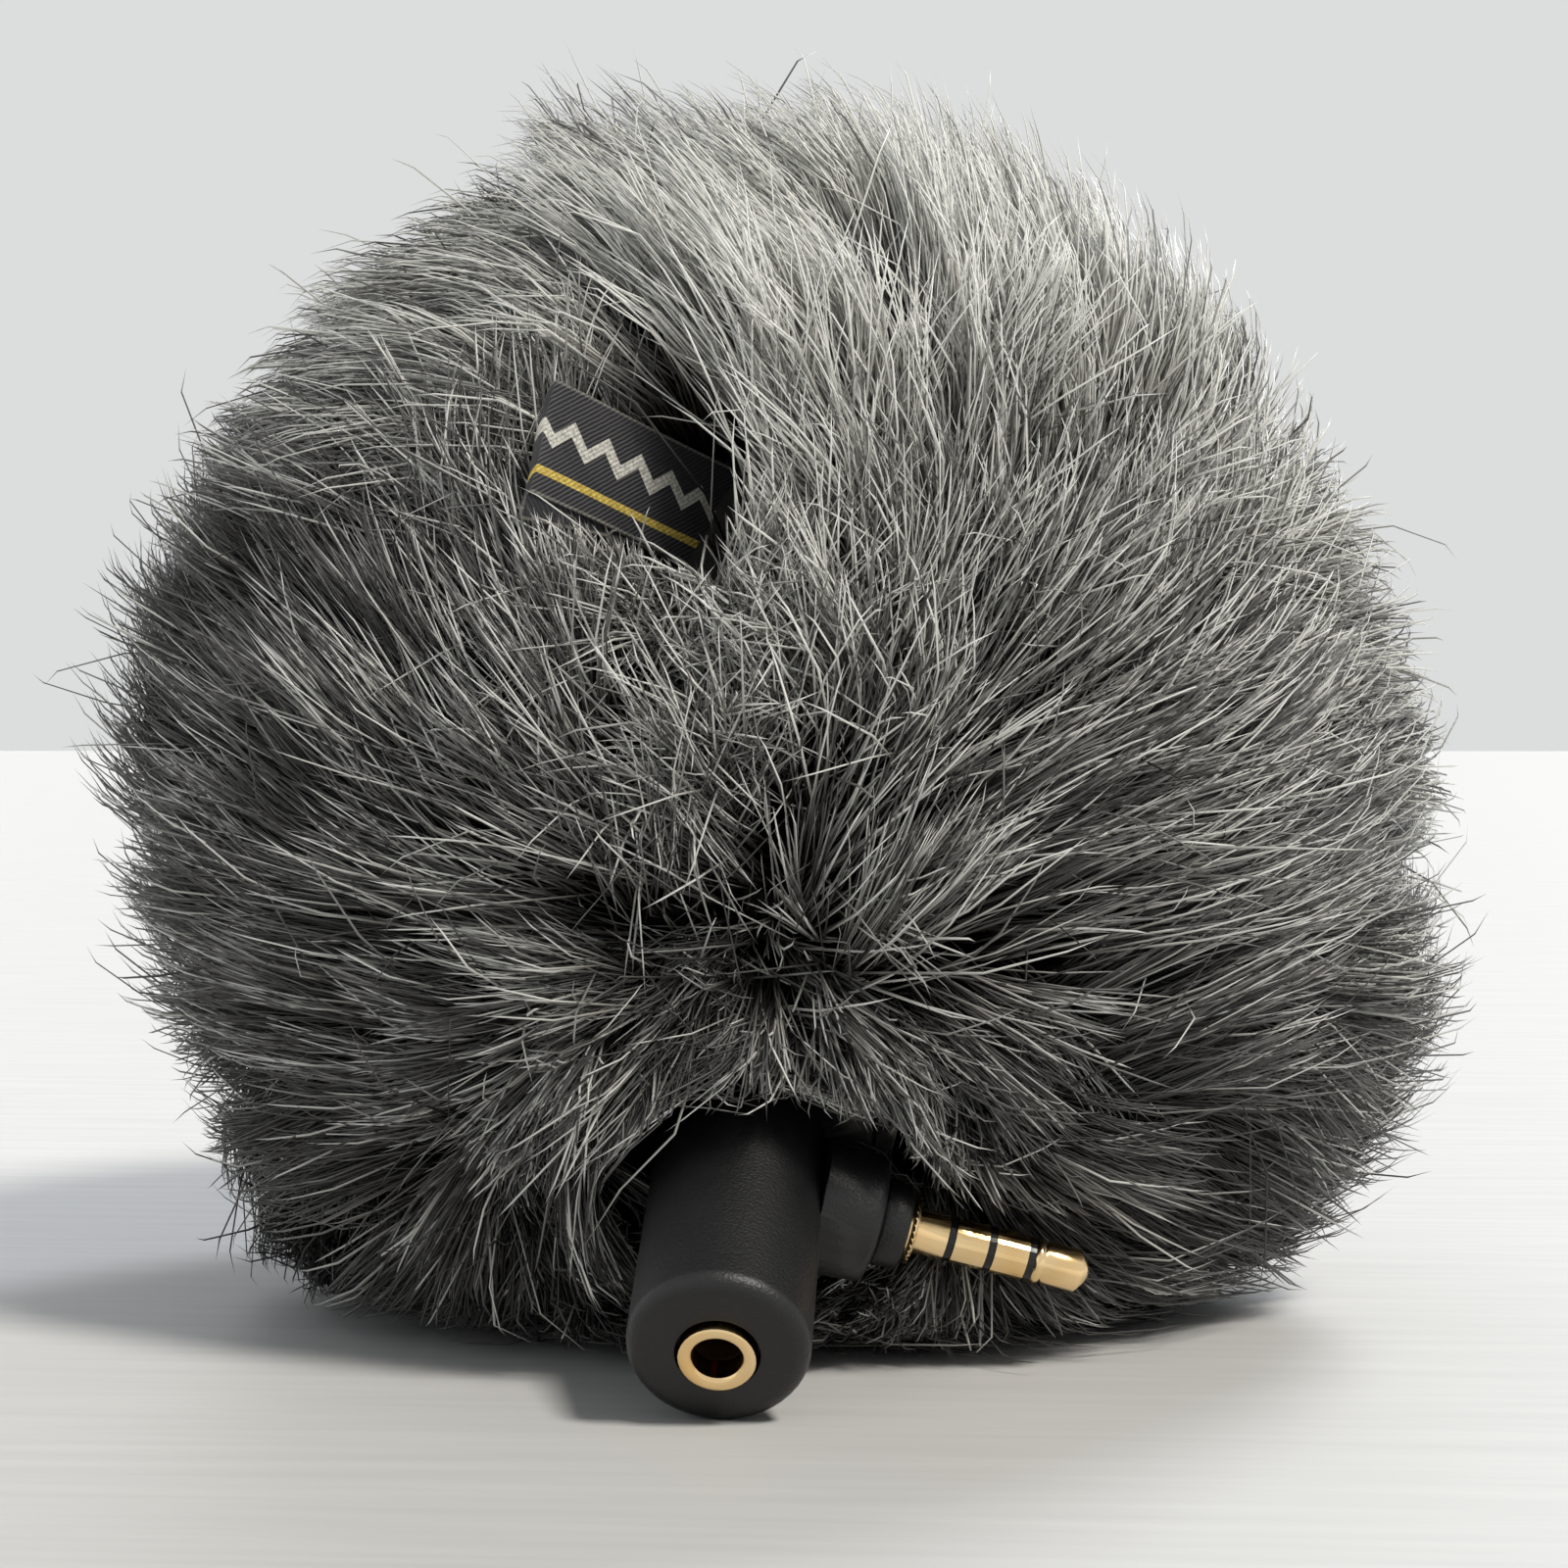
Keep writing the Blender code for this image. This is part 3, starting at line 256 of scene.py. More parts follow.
hardFinishes = {  # by the frame's slots: name, two colours, roughness, grain and its depth
    # ABS from a spark-eroded mould: matt black, with a soft sheen down the tube
    "housing_plastic": grainedPlastic("grainedBlackAbs", "#0b0b0c", "#141415", 0.42, 0.22, 0.11),
    # nylon from a plain mould: brown and slightly waxy
    "inner_plastic": grainedPlastic("plainBrownNylon", "#2c1d14", "#3a281c", 0.36, 0.5, 0.008),
    # moulded rubber: dull, greyer than the plastic
    "mount_rubber": grainedPlastic("mouldedBlackRubber", "#191919", "#222222", 0.72, 0.4, 0.02),
    # gold plate over turned brass: pale yellow and mirror-like
    "gold_plating": turnedMetal("turnedGoldPlate", "#f8dcab", "#efc788", 0.15),
    # bare brass strip, pressed: redder and softer than the plate
    "contact_brass": turnedMetal("pressedBrass", "#c98a52", "#a56a38", 0.30),
    # drawn aluminium can: white, with a satin sheen
    "capsule_can": turnedMetal("drawnAluminium", "#c9cacd", "#b8b9bd", 0.30),
    # drawn aluminium of a capacitor: greyer
    "capacitor_can": turnedMetal("capacitorAluminium", "#c3c4c8", "#a9aaae", 0.34),
    # woven stainless screen: grey, with a coarser glitter
    "steel_screen": turnedMetal("finestSteelScreen", "#8b8c8e", "#5f6062", 0.42, 0.3),
    # moulded insulator rings: glossy black between the gold
    "insulator_plastic": grainedPlastic("glossBlackInsulator", "#0f0f0f", "#141414", 0.22, 0.6, 0.002),
    # solder mask over glass fibre: deep green with a soft gloss
    "circuit_board": grainedPlastic("greenSolderMask", "#1d4b2c", "#27603a", 0.35, 0.7, 0.01),
    # extruded PVC sleeve: red and smooth
    "lead_insulation": grainedPlastic("redLeadSleeve", "#8a2a22", "#9c362c", 0.42, 0.6, 0.004),
}

# smooth-shaded merged copies of the nodes, in place of the frame's loose triangles
dressed = dict(mergeWithin=0.002, smoothAngle=32)


def mergedNode(nodeName):
    shape = bmesh.new()
    shape.from_mesh(frame["nodes"][nodeName].data)
    bmesh.ops.remove_doubles(shape, verts=shape.verts, dist=dressed["mergeWithin"] * mm)
    return shape


def dressNode(nodeName):
    slot = slotOf[nodeName]
    made = finishMesh(
        mergedNode(nodeName), nodeName + "Shown", hardFinishes[slot], "microphone", dressed["smoothAngle"]
    )
    evenShade = made.modifiers.new("evenShade", "WEIGHTED_NORMAL")
    evenShade.keep_sharp = True
    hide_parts(nodeName)


for nodeName in frame["record"]["behaviour"]["bodies"]["microphone"]:
    dressNode(nodeName)
print("stage: hard parts are dressed")

# knitted cuff and lining, in mm
knit = dict(
    rib=0.9,
    yarn=0.35,  # coarser than the real one, which is too fine to show
    ridge=0.15,
    colour="#151515",
    paler="#262524",
    liningFlat=(0.067, 0.053),  # in metres, slit along its seam and laid flat
)
waveBand = 0.314  # the spacing of the wave texture's bands at a scale of 1


def knittedBlack(name):
    # black polyester knit: dull, with yarn ridges that catch a little light, through their bump and a painted
    # highlight
    made, tree, shader = newMaterial(name)
    onObject = {"Vector": addNode(tree, "TexCoord").outputs["Object"]}
    lying = {"vector_type": "TEXTURE", "Location": rearFace * mm, "Rotation": (layTurn, 0, 0)}
    alongAxis = {"Vector": addNode(tree, "Mapping", lying, onObject).outputs[0]}
    bands = {"wave_type": "BANDS", "bands_direction": "Z", "Scale": waveBand / (knit["rib"] * mm)}
    rows = addNode(tree, "TexWave", {**bands, "Distortion": 1.5}, alongAxis)
    yarn = addNode(tree, "TexNoise", {"Scale": 1 / (knit["yarn"] * mm), "Detail": 2.0}, alongAxis)
    height = addNode(tree, "Math", {"operation": "ADD"}, {0: rows.outputs["Fac"], 1: yarn.outputs["Fac"]})
    # the higher rows and yarn are painted paler: partly the yarn's own uneven tone, partly a painted
    # highlight on the ridges
    stops = ((0.3, knit["colour"]), (1.0, knit["paler"]))
    tint = addNode(tree, "ValToRGB", {"stops": stops}, {0: height.outputs[0]})
    bump = addNode(
        tree, "Bump", {"Strength": 0.8, "Distance": knit["ridge"] * mm}, {"Height": height.outputs[0]}
    )
    setNode(
        tree, shader, {"Roughness": 0.85, "Sheen Weight": 0.25},
        {"Base Color": tint.outputs[0], "Normal": bump.outputs[0]},
    )
    return made


def knitPiece(name, nodeName):
    made = finishMesh(mergedNode(nodeName), name, knittedBlack(name + "Knit"), "windshield")
    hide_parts(nodeName)
    return made


knitPiece("elasticCuff", "elastic_cuff")
lining = knitPiece("windshieldLining", "windshield_lining")
print("stage: cuff and lining are knitted")

# the form that the longest hairs reach, an ellipsoid with swells and hollows, in mm
pile = dict(
    centre=np.array(rearFace + Vector((1.0, 57.995, 40.206))),
    reach=np.array((58.0, 51.0, 58.0)),
    swells=(  # direction, share of the reach, how wide as one less a cosine
        ((0.80, -0.10, -0.62), 0.08, 0.07),
        ((0.93, -0.10, 0.33), -0.10, 0.10),
        ((0.60, -0.10, 0.75), -0.03, 0.05),
        ((-0.34, 0.00, 0.95), 0.16, 0.010),
        ((-0.02, 0.00, 1.00), 0.045, 0.006),
        ((0.16, 0.00, 0.99), 0.05, 0.006),
        ((0.29, 0.00, 0.96), 0.06, 0.008),
        ((0.52, 0.00, 0.85), 0.075, 0.010),
        ((-0.78, -0.05, 0.62), -0.05, 0.012),
        ((0.05, -0.95, -0.25), -0.03, 0.02),
        ((-0.15, -0.97, 0.15), -0.03, 0.02),
        ((-0.52, -0.83, 0.12), -0.09, 0.008),
        ((-0.80, -0.40, 0.33), 0.03, 0.03),
        ((0.25, -0.70, 0.62), 0.03, 0.04),
    ),
    lockRise=0.03,
    lockWaves=12.0,
    lockSlant=5.0,
    holdFrom=0.87,  # share of the form from which the hairs are held in
    holdSoft=0.14,
    tableGap=0.25,
    tableSoft=4.0,
)


def unit(vectors):
    return vectors / np.maximum(np.linalg.norm(vectors, axis=-1, keepdims=True), 1e-9)


def formShare(points):
    rel = (points - pile["centre"]) / pile["reach"]
    way = unit(rel)
    locks = np.sin(pile["lockWaves"] * way + pile["lockSlant"] * np.roll(way, 1, axis=-1)).mean(axis=-1)
    swell = 1 + pile["lockRise"] * locks
    for centre, share, spread in pile["swells"]:
        swell = swell + share * np.exp((way @ unit(np.array(centre)) - 1) / spread)
    return np.linalg.norm(rel, axis=-1) / swell


# the sewn bag that the pile grows from: stations and radii round the microphone's axis, in mm
bag = dict(
    mouthStation=27.7, mouthRadius=13.0, wideStation=68.0, wideRadius=36.5, frontStation=103.5,
    wider=1.05, lift=7.65, side=1.0,  # share and mm by which it leaves the axis, past the mouth
    wall=1.0,
    offTable=1.8,
    around=72, rings=14,
    loop=0.9, loopDepth=0.2, colour="#2a2826", darker="#191817",  # of its knit
    flat=(0.24, 0.115), area=0.0176,  # its four gores laid out side by side, in metres
)


def bagForm():
    quarter = [math.pi / 2 * i / bag["rings"] for i in range(bag["rings"] + 1)]
    wideStep = bag["wideRadius"] - bag["mouthRadius"]
    rearDepth = bag["wideStation"] - bag["mouthStation"]
    frontDepth = bag["frontStation"] - bag["wideStation"]
    points = [
        (bag["mouthRadius"] + wideStep * math.sin(a), bag["wideStation"] - rearDepth * math.cos(a))
        for a in quarter
    ]
    points += [
        (bag["wideRadius"] * math.cos(a), bag["wideStation"] + frontDepth * math.sin(a))
        for a in quarter[1:-1]
    ]
    points.append((0, bag["frontStation"]))
    shape = bmesh.new()
    verts = [shape.verts.new((radius, 0, station)) for radius, station in points]
    edges = [shape.edges.new(pair) for pair in zip(verts, verts[1:])]
    bmesh.ops.spin(
        shape, geom=verts + edges, axis=(0, 0, 1), cent=(0, 0, 0),
        angle=2 * math.pi, steps=bag["around"], use_merge=True,
    )
    bmesh.ops.remove_doubles(shape, verts=shape.verts, dist=1e-4)
    # it leaves the mouth round the axis and then sits higher, wider than tall
    for vert in shape.verts:
        along = min(1, max(0, (vert.co.z - bag["mouthStation"]) / rearDepth))
        ease = along * along * (3 - 2 * along)
        vert.co.x = vert.co.x * (1 + (bag["wider"] - 1) * ease) + bag["side"] * ease
        vert.co.y -= bag["lift"] * ease
    shape.transform(asItLies)
    # pressed flat by its own weight, with the crushed pile between it and the table
    for vert in shape.verts:
        vert.co.z = max(vert.co.z, bag["offTable"])
    # the mouth is open, so the faces may be turned inwards
    bmesh.ops.recalc_face_normals(shape, faces=shape.faces)
    middle = asItLies @ Vector((0, -bag["lift"], bag["wideStation"]))
    face = max(shape.faces, key=lambda f: f.calc_center_median().z)
    if face.normal.dot(face.calc_center_median() - middle) < 0:
        bmesh.ops.reverse_faces(shape, faces=shape.faces)
    shape.normal_update()
    shape.verts.index_update()
    return shape


def backingKnit():
    # knitted polyester ground of fake fur: near black between the roots of the pile
    made, tree, shader = newMaterial("pileGroundKnit")
    onObject = {"Vector": addNode(tree, "TexCoord").outputs["Object"]}
    loops = addNode(tree, "TexVoronoi", {"Scale": 1 / (bag["loop"] * mm)}, onObject)
    stops = ((0.1, bag["colour"]), (0.8, bag["darker"]))
    tint = addNode(tree, "ValToRGB", {"stops": stops}, {0: loops.outputs["Distance"]})
    bump = addNode(
        tree, "Bump", {"Strength": 0.6, "Distance": bag["loopDepth"] * mm},
        {"Height": loops.outputs["Distance"]},
    )
    setNode(
        tree, shader, {"Roughness": 0.95}, {"Base Color": tint.outputs[0], "Normal": bump.outputs[0]}
    )
    return made


def groundFaces(shape):
    # its triangles and normals, in an order of their own, so that each run grows the same hairs
    points = np.array([vert.co[:] for vert in shape.verts]).round(4)
    normals = np.array([vert.normal[:] for vert in shape.verts]).round(4)
    triangles = []
    for face in shape.faces:
        corners = [vert.index for vert in face.verts]
        first = min(range(len(corners)), key=lambda k: tuple(points[corners[k]]))
        corners = corners[first:] + corners[:first]
        triangles += [(corners[0], *pair) for pair in zip(corners[1:], corners[2:])]
    spots = points[np.array(triangles)]
    order = np.lexsort(spots.reshape(len(spots), -1).T[::-1])
    return spots[order], normals[np.array(triangles)][order]


def sewBacking(shape):
    bmesh.ops.triangulate(shape, faces=shape.faces)
    bmesh.ops.solidify(shape, geom=shape.faces, thickness=bag["wall"])
    bmesh.ops.recalc_face_normals(shape, faces=shape.faces)
    shape.transform(Matrix.Scale(mm, 4))
    backing = finishMesh(shape, "furBacking", backingKnit(), "windshield", 60)
    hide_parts("fur_upper_left", "fur_upper_right", "fur_lower_left", "fur_lower_right")


backingShape = bagForm()
ground = groundFaces(backingShape)
sewBacking(backingShape)
print("stage: backing is sewn")

# woven label, folded at its free end, with the other end sewn into the fur, in mm
ribbon = dict(
    fold=Vector((-0.284, -0.842, 0.459)), sink=2.3,  # way from the fur's middle, and how deep under its form
    turn=(-6.2, 18.8, 43.7),
    length=26.5, width=9.2, layer=0.30, gap=0.45,
    slip=2.1, slipLength=11.0,  # of the back layer, near the fold
    bow=0.25, ripple=0.12, rippleWays=(0.35, 0.9),
    around=8, along=24, across=10,
)
weave = dict(
    twill=0.22, thread=0.3125,
    zigzag=1.6, zigzagDrop=0.1, zigzagHalf=0.62,  # its height, place and half width
    stripeAt=-2.7, stripeHalf=0.32, stripePastFold=0.6,
    selvedge=0.22,
)
parting = dict(  # where no hair lies before the label
    way=Vector((-0.067, -1.0, 0.067)), depth=30.0, behind=1.5, rim=0.3, coveredEnd=4.0,
)


def labelPlace():
    centre, reach = Vector(pile["centre"]), Vector(pile["reach"])
    fold = centre + ribbon["fold"] * reach - ribbon["fold"] * ribbon["sink"]
    turn = Euler([math.radians(a) for a in ribbon["turn"]]).to_matrix().to_4x4()
    return Matrix.Translation(fold) @ turn


def wovenLabelCloth():
    # jacquard-woven polyester ribbon: satin-black warp in a fine diagonal twill, with white and gold weft;
    # its map is in mm, along the ribbon and across it
    made, tree, shader = newMaterial("jacquardRibbon")
    coordinates = addNode(tree, "UVMap", {"uv_map": "ribbonMap"})
    parts = addNode(tree, "SeparateXYZ", {}, {0: coordinates.outputs[0]})
    bands = {"wave_type": "BANDS", "bands_direction": "DIAGONAL", "Scale": waveBand / weave["twill"]}
    onRibbon = {"Vector": coordinates.outputs[0]}
    twill = addNode(tree, "TexWave", {**bands, "Distortion": 1.5, "Detail": 1.0}, onRibbon)
    threads = addNode(tree, "TexNoise", {"Scale": 1 / weave["thread"], "Detail": 2.0}, onRibbon)
    weft = addNode(
        tree, "MixRGB", {"blend_type": "MULTIPLY", 0: 0.7},
        {1: twill.outputs["Fac"], 2: threads.outputs["Fac"]},
    )
    cloth = addNode(
        tree, "ValToRGB", {"stops": ((0.1, "#101013"), (0.5, "#2f2f35"))}, {0: weft.outputs[0]}
    )
    # the cut edges are paler, where the ends of the weft stand out
    fromMiddle = addNode(tree, "Math", {"operation": "ABSOLUTE"}, {0: parts.outputs["Y"]})
    edgeFrom = ribbon["width"] / 2 - weave["selvedge"]
    selvedge = addNode(tree, "Math", {"operation": "GREATER_THAN", 1: edgeFrom}, {0: fromMiddle.outputs[0]})
    frayed = addNode(
        tree, "Math", {"operation": "MULTIPLY"}, {0: selvedge.outputs[0], 1: threads.outputs["Fac"]}
    )
    edged = addNode(
        tree, "Mix", {"data_type": "RGBA", 7: linear("#8f8c84")},
        {"Factor": frayed.outputs[0], 6: cloth.outputs[0]},
    )
    # a zigzag: the distance across the ribbon from a folded line
    fold = addNode(tree, "Math", {"operation": "PINGPONG", 1: weave["zigzag"]}, {0: parts.outputs["X"]})
    line = addNode(tree, "Math", {"operation": "SUBTRACT", 1: weave["zigzagDrop"]}, {0: fold.outputs[0]})
    gapFrom = addNode(tree, "Math", {"operation": "SUBTRACT"}, {0: parts.outputs["Y"], 1: line.outputs[0]})
    far = addNode(tree, "Math", {"operation": "ABSOLUTE"}, {0: gapFrom.outputs[0]})
    white = addNode(tree, "Math", {"operation": "LESS_THAN", 1: weave["zigzagHalf"]}, {0: far.outputs[0]})
    # a stripe below it, on the outer layer
    low = addNode(tree, "Math", {"operation": "ADD", 1: -weave["stripeAt"]}, {0: parts.outputs["Y"]})
    lowFar = addNode(tree, "Math", {"operation": "ABSOLUTE"}, {0: low.outputs[0]})
    stripe = addNode(tree, "Math", {"operation": "LESS_THAN", 1: weave["stripeHalf"]}, {0: lowFar.outputs[0]})
    stripeEnd = ribbon["length"] + weave["stripePastFold"]
    outer = addNode(tree, "Math", {"operation": "LESS_THAN", 1: stripeEnd}, {0: parts.outputs["X"]})
    gold = addNode(tree, "Math", {"operation": "MULTIPLY"}, {0: stripe.outputs[0], 1: outer.outputs[0]})
    shown = edged
    for pattern, dull, bright in ((white, "#9c9a92", "#e6e4da"), (gold, "#a98a2c", "#e3cb62")):
        stops = ((0.3, dull), (0.65, bright))
        thread = addNode(tree, "ValToRGB", {"stops": stops}, {0: threads.outputs["Fac"]})
        shown = addNode(
            tree, "Mix", {"data_type": "RGBA"},
            {"Factor": pattern.outputs[0], 6: shown.outputs[2], 7: thread.outputs[0]},
        )
    raised = addNode(tree, "Math", {"operation": "ADD"}, {0: twill.outputs["Fac"], 1: white.outputs[0]})
    bump = addNode(tree, "Bump", {"Strength": 0.7, "Distance": 0.05 * mm}, {"Height": raised.outputs[0]})
    setNode(
        tree, shader, {"Roughness": 0.55, "Sheen Weight": 0.15},
        {"Base Color": shown.outputs[2], "Normal": bump.outputs[0]},
    )
    return made


def makeLabel():
    # a line along the two layers and round the fold is drawn out across the ribbon
    middle = (ribbon["gap"] + ribbon["layer"]) / 2
    path = [(ribbon["length"] * (1 - i / ribbon["along"]), -middle) for i in range(ribbon["along"])]
    for i in range(ribbon["around"] + 1):
        angle = math.pi * i / ribbon["around"]
        path.append((-middle * math.sin(angle), -middle * math.cos(angle)))
    path += [(ribbon["length"] * (i + 1) / ribbon["along"], middle) for i in range(ribbon["along"])]
    shape = bmesh.new()
    verts = [shape.verts.new((x, y, -ribbon["width"] / 2)) for x, y in path]
    edges = [shape.edges.new(pair) for pair in zip(verts, verts[1:])]
    total = sum(edge.calc_length() for edge in edges)
    uv = shape.loops.layers.uv.new("ribbonMap")
    for _ in range(ribbon["across"]):
        grown = bmesh.ops.extrude_edge_only(shape, edges=edges)
        fresh = [g for g in grown["geom"] if isinstance(g, bmesh.types.BMVert)]
        bmesh.ops.translate(shape, verts=fresh, vec=(0, 0, ribbon["width"] / ribbon["across"]))
        edges = [g for g in grown["geom"] if isinstance(g, bmesh.types.BMEdge) and not g.link_faces[1:]]
        edges = [e for e in edges if abs(e.verts[0].co.z - e.verts[1].co.z) < 1e-6]
    for face in shape.faces:
        for loop in face.loops:
            x, y, z = loop.vert.co
            along = ribbon["length"] - x if y < 0 else total - (ribbon["length"] - x)
            loop[uv].uv = (along, z)
    # the back layer has slipped down, and both bow a little
    waveX, waveZ = ribbon["rippleWays"]
    for vert in shape.verts:
        x, y, z = vert.co
        slip = (y + middle) / (2 * middle) * max(0, 1 - x / ribbon["slipLength"])
        vert.co.z = z - ribbon["slip"] * slip
        bow = ribbon["bow"] * math.sin(math.pi * x / ribbon["length"])
        vert.co.y = y - bow + ribbon["ripple"] * math.sin(z * waveZ + x * waveX)
    bmesh.ops.recalc_face_normals(shape, faces=shape.faces)
    bmesh.ops.solidify(shape, geom=shape.faces, thickness=ribbon["layer"])
    bmesh.ops.recalc_face_normals(shape, faces=shape.faces)
    shape.transform(Matrix.Scale(mm, 4) @ labelAt)
    made = finishMesh(shape, "foldedLabel", wovenLabelCloth(), "windshield", 50)
    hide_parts("woven_label")


labelAt = labelPlace()
makeLabel()
print("stage: label is folded")

# how the pile is combed: place from the fur's middle and way of the hair's outer half, both as
# (right, back, up); then lift off the skin, share of the full length, mess and tone. The tone also holds
# painted light and shade: paler on the crown and the top right, where the key light falls, darker low down,
# on the left, behind and in the valleys.
comb = {
    "aboveWhorl": ((3, -47, -2), (0.10, 0, 1.0), 0.70, 0.75, 0.70, 0.08),
    "whorlLeft": ((-12, -45, -10), (-1.0, 0, 0.12), 0.35, 1.0, 0.10, 0.08),
    "whorlRight": ((16, -44, -12), (1.0, 0, 0.15), 0.35, 1.0, 0.12, 0.00),
    "fringe": ((1, -42, -21), (0.05, 0, -1.0), 0.40, 0.98, 0.25, 0.02),
    "secondTier": ((-27, -41, -3), (-0.9, 0, 0.42), 0.40, 1.0, 0.08, -0.06),
    "leftPanel": ((-45, -22, 16), (-0.85, 0, 0.50), 0.70, 1.0, 0.08, -0.22),
    "leftPanelTop": ((-43, -23, 24), (-0.85, 0, 0.5), 0.75, 1.0, 0.08, 0.10),
    "leftPanelRoots": ((-31, -38, 12), (-0.85, 0, 0.50), 0.45, 0.9, 0.10, -0.32),
    "leftFar": ((-46, -24, 0), (-0.9, 0, 0.42), 0.70, 1.0, 0.10, -0.34),
    "leftLow": ((-38, -31, -15), (-1.0, 0, -0.02), 0.45, 1.0, 0.08, -0.18),
    "lowLeft": ((-36, -22, -32), (-0.85, 0, -0.55), 0.45, 1.0, 0.12, -0.40),
    "underLeft": ((-22, -25, -42), (-0.55, 0, -0.85), 0.40, 0.9, 0.15, -0.42),
    # painted shade: the valley's hairs are toned near black, as shade in a hollow
    "leftValley": ((-29, -40, 6), (-0.6, 0, 0.75), 0.30, 0.55, 0.15, -0.75),
    "uprights": ((-19, -43, 9), (0.05, 0, 1.0), 0.30, 0.85, 0.15, 0.05),
    "valley": ((-9, -46, 7), (-0.4, 0, 0.8), 0.65, 0.65, 0.80, 0.26),
    "underLabel": ((-13, -44, 15), (-0.5, 0, 0.5), 0.55, 0.6, 0.70, 0.36),
    "middle": ((4, -46, 11), (-0.45, 0, 0.9), 0.50, 0.70, 0.75, 0.52),
    "upperLeft": ((-20, -30, 37), (-1.0, 0, 0.10), 0.50, 0.95, 0.10, 0.26),
    "upperLeftEdge": ((-30, -10, 46), (-0.95, 0, 0.25), 0.80, 1.0, 0.12, 0.18),
    # painted shade: the pile behind the left side is toned dark, as in shade
    "behindLeft": ((-44, 0, 30), (-0.55, 0.7, 0.1), 0.60, 0.95, 0.06, -0.38),
    "behindLeftTop": ((-30, 22, 40), (-0.35, 0.8, -0.1), 0.60, 0.95, 0.06, -0.05),
    "tuft": ((-18, -6, 55), (-0.35, -0.1, 1.0), 1.60, 1.20, 0.08, 0.25),
    "crownLeft": ((-4, -25, 46), (-0.85, 0, 0.55), 0.60, 1.0, 0.08, 0.46),
    # painted light: the crown is toned palest, where the key light falls
    "crown": ((10, -39, 28), (-0.6, 0, 0.85), 0.42, 1.1, 0.06, 0.84),
    "crownTop": ((12, -14, 51), (-0.25, -0.1, 1.0), 0.95, 1.0, 0.08, 0.65),
    "crownRight": ((23, -30, 35), (-0.2, 0, 1.0), 0.50, 1.0, 0.06, 0.80),
    "upperRight": ((33, -22, 33), (0.40, 0, 0.9), 0.70, 1.0, 0.10, 0.58),
    "messyRight": ((31, -36, 17), (0.35, 0, 0.7), 0.60, 0.65, 0.60, 0.31),
    "centreRight": ((17, -44, 7), (-0.1, 0, 1.0), 0.40, 0.80, 0.55, 0.15),
    "rightCentre": ((28, -40, -4), (0.9, 0, 0.35), 0.40, 0.9, 0.20, 0.05),
    "rightUp": ((45, -22, 12), (0.95, 0, 0.30), 0.80, 0.95, 0.20, 0.32),
    "right": ((46, -22, -10), (1.0, 0, 0.05), 0.70, 1.0, 0.12, 0.22),
    "rightLow": ((42, -20, -26), (0.95, 0, -0.25), 0.65, 1.05, 0.12, -0.12),
    # painted shade: low down and underneath, the pile is toned dark, as in shade
    "lowRight": ((30, -28, -33), (0.85, 0, -0.5), 0.35, 1.1, 0.08, -0.42),
    "underRight": ((18, -22, -43), (0.5, 0, -0.85), 0.40, 0.9, 0.15, -0.45),
    "topRidge": ((0, 8, 57), (-0.1, 0.25, 0.3), 1.30, 1.0, 0.15, 0.20),
    "topBack": ((0, 25, 50), (0.0, 0.95, 0.0), 0.95, 1.0, 0.15, 0.15),
    "back": ((0, 50, 8), (0.05, 0.35, -1.0), 0.65, 1.0, 0.12, 0.05),
    "backLeft": ((-38, 32, 8), (-0.25, 0.65, -0.6), 0.70, 1.0, 0.12, 0.0),
    "backRight": ((38, 32, 8), (0.25, 0.65, -0.6), 0.70, 1.0, 0.12, 0.08),
    "lowBack": ((0, 38, -32), (0.1, 0.8, -0.6), 0.65, 0.9, 0.15, -0.05),
    "leftSide": ((-56, 6, -5), (-0.35, 0.8, -0.25), 0.60, 0.95, 0.06, -0.05),
    "lowBackLeft": ((-40, 22, -25), (-0.2, 0.75, -0.6), 0.60, 0.9, 0.08, -0.05),
    "rightSide": ((56, 6, -5), (0.35, 0.8, -0.1), 1.00, 1.0, 0.10, 0.05),
    "rightTop": ((44, 8, 32), (0.5, 0.6, 0.4), 1.00, 1.0, 0.10, 0.15),
}
combing = dict(
    spread=0.03,  # how far a guide's place reaches, as one less a cosine
    pick=1.3,  # how surely a big clump picks its strongest guide
    lean=0.65,  # and how far it leans to the one that it picked
    plain=(0.8, 0.95, 0.2, 0.0), plainWeight=0.02,  # between the guides
    follow=0.7,  # how far a strand takes its clump's way
    calm=0.5, messy=4.5,  # how far ways wander, in order and in a mess
    leastLift=0.12,
)
whorl = dict(  # the pile radiates from here, above the mouth
    place=np.array((3.0, -46.0, -13.0)), reach=5.0, pull=0.8, lift=0.6,
)
skirt = dict(  # round the mouth it stands back along the neck, as a fringe
    reach=4.5, untilStation=36, pull=0.85,
    flare=(-1.5, 0.2), overTop=0.75, drop=0.3, flatten=0.3,
    width=6, below=40, density=3.4,
)
rearAt, axisAt, plugAt = np.array(rearFace), np.array(axisWay), np.array(plugWay)
plugStart = rearAt + axisAt * lie["plugStation"]


def aboutAxis(points, start, way):
    # each point's station along an axis, and its way and distance out from it
    rel = points - start
    station = rel @ way
    radial = rel - station[..., None] * way
    return station, radial, np.linalg.norm(radial, axis=-1)


def alongSkin(ways, normal, share=1.0):
    # takes that share of the part that points out of the skin off the ways
    return ways - normal * (ways * normal).sum(axis=1, keepdims=True) * share


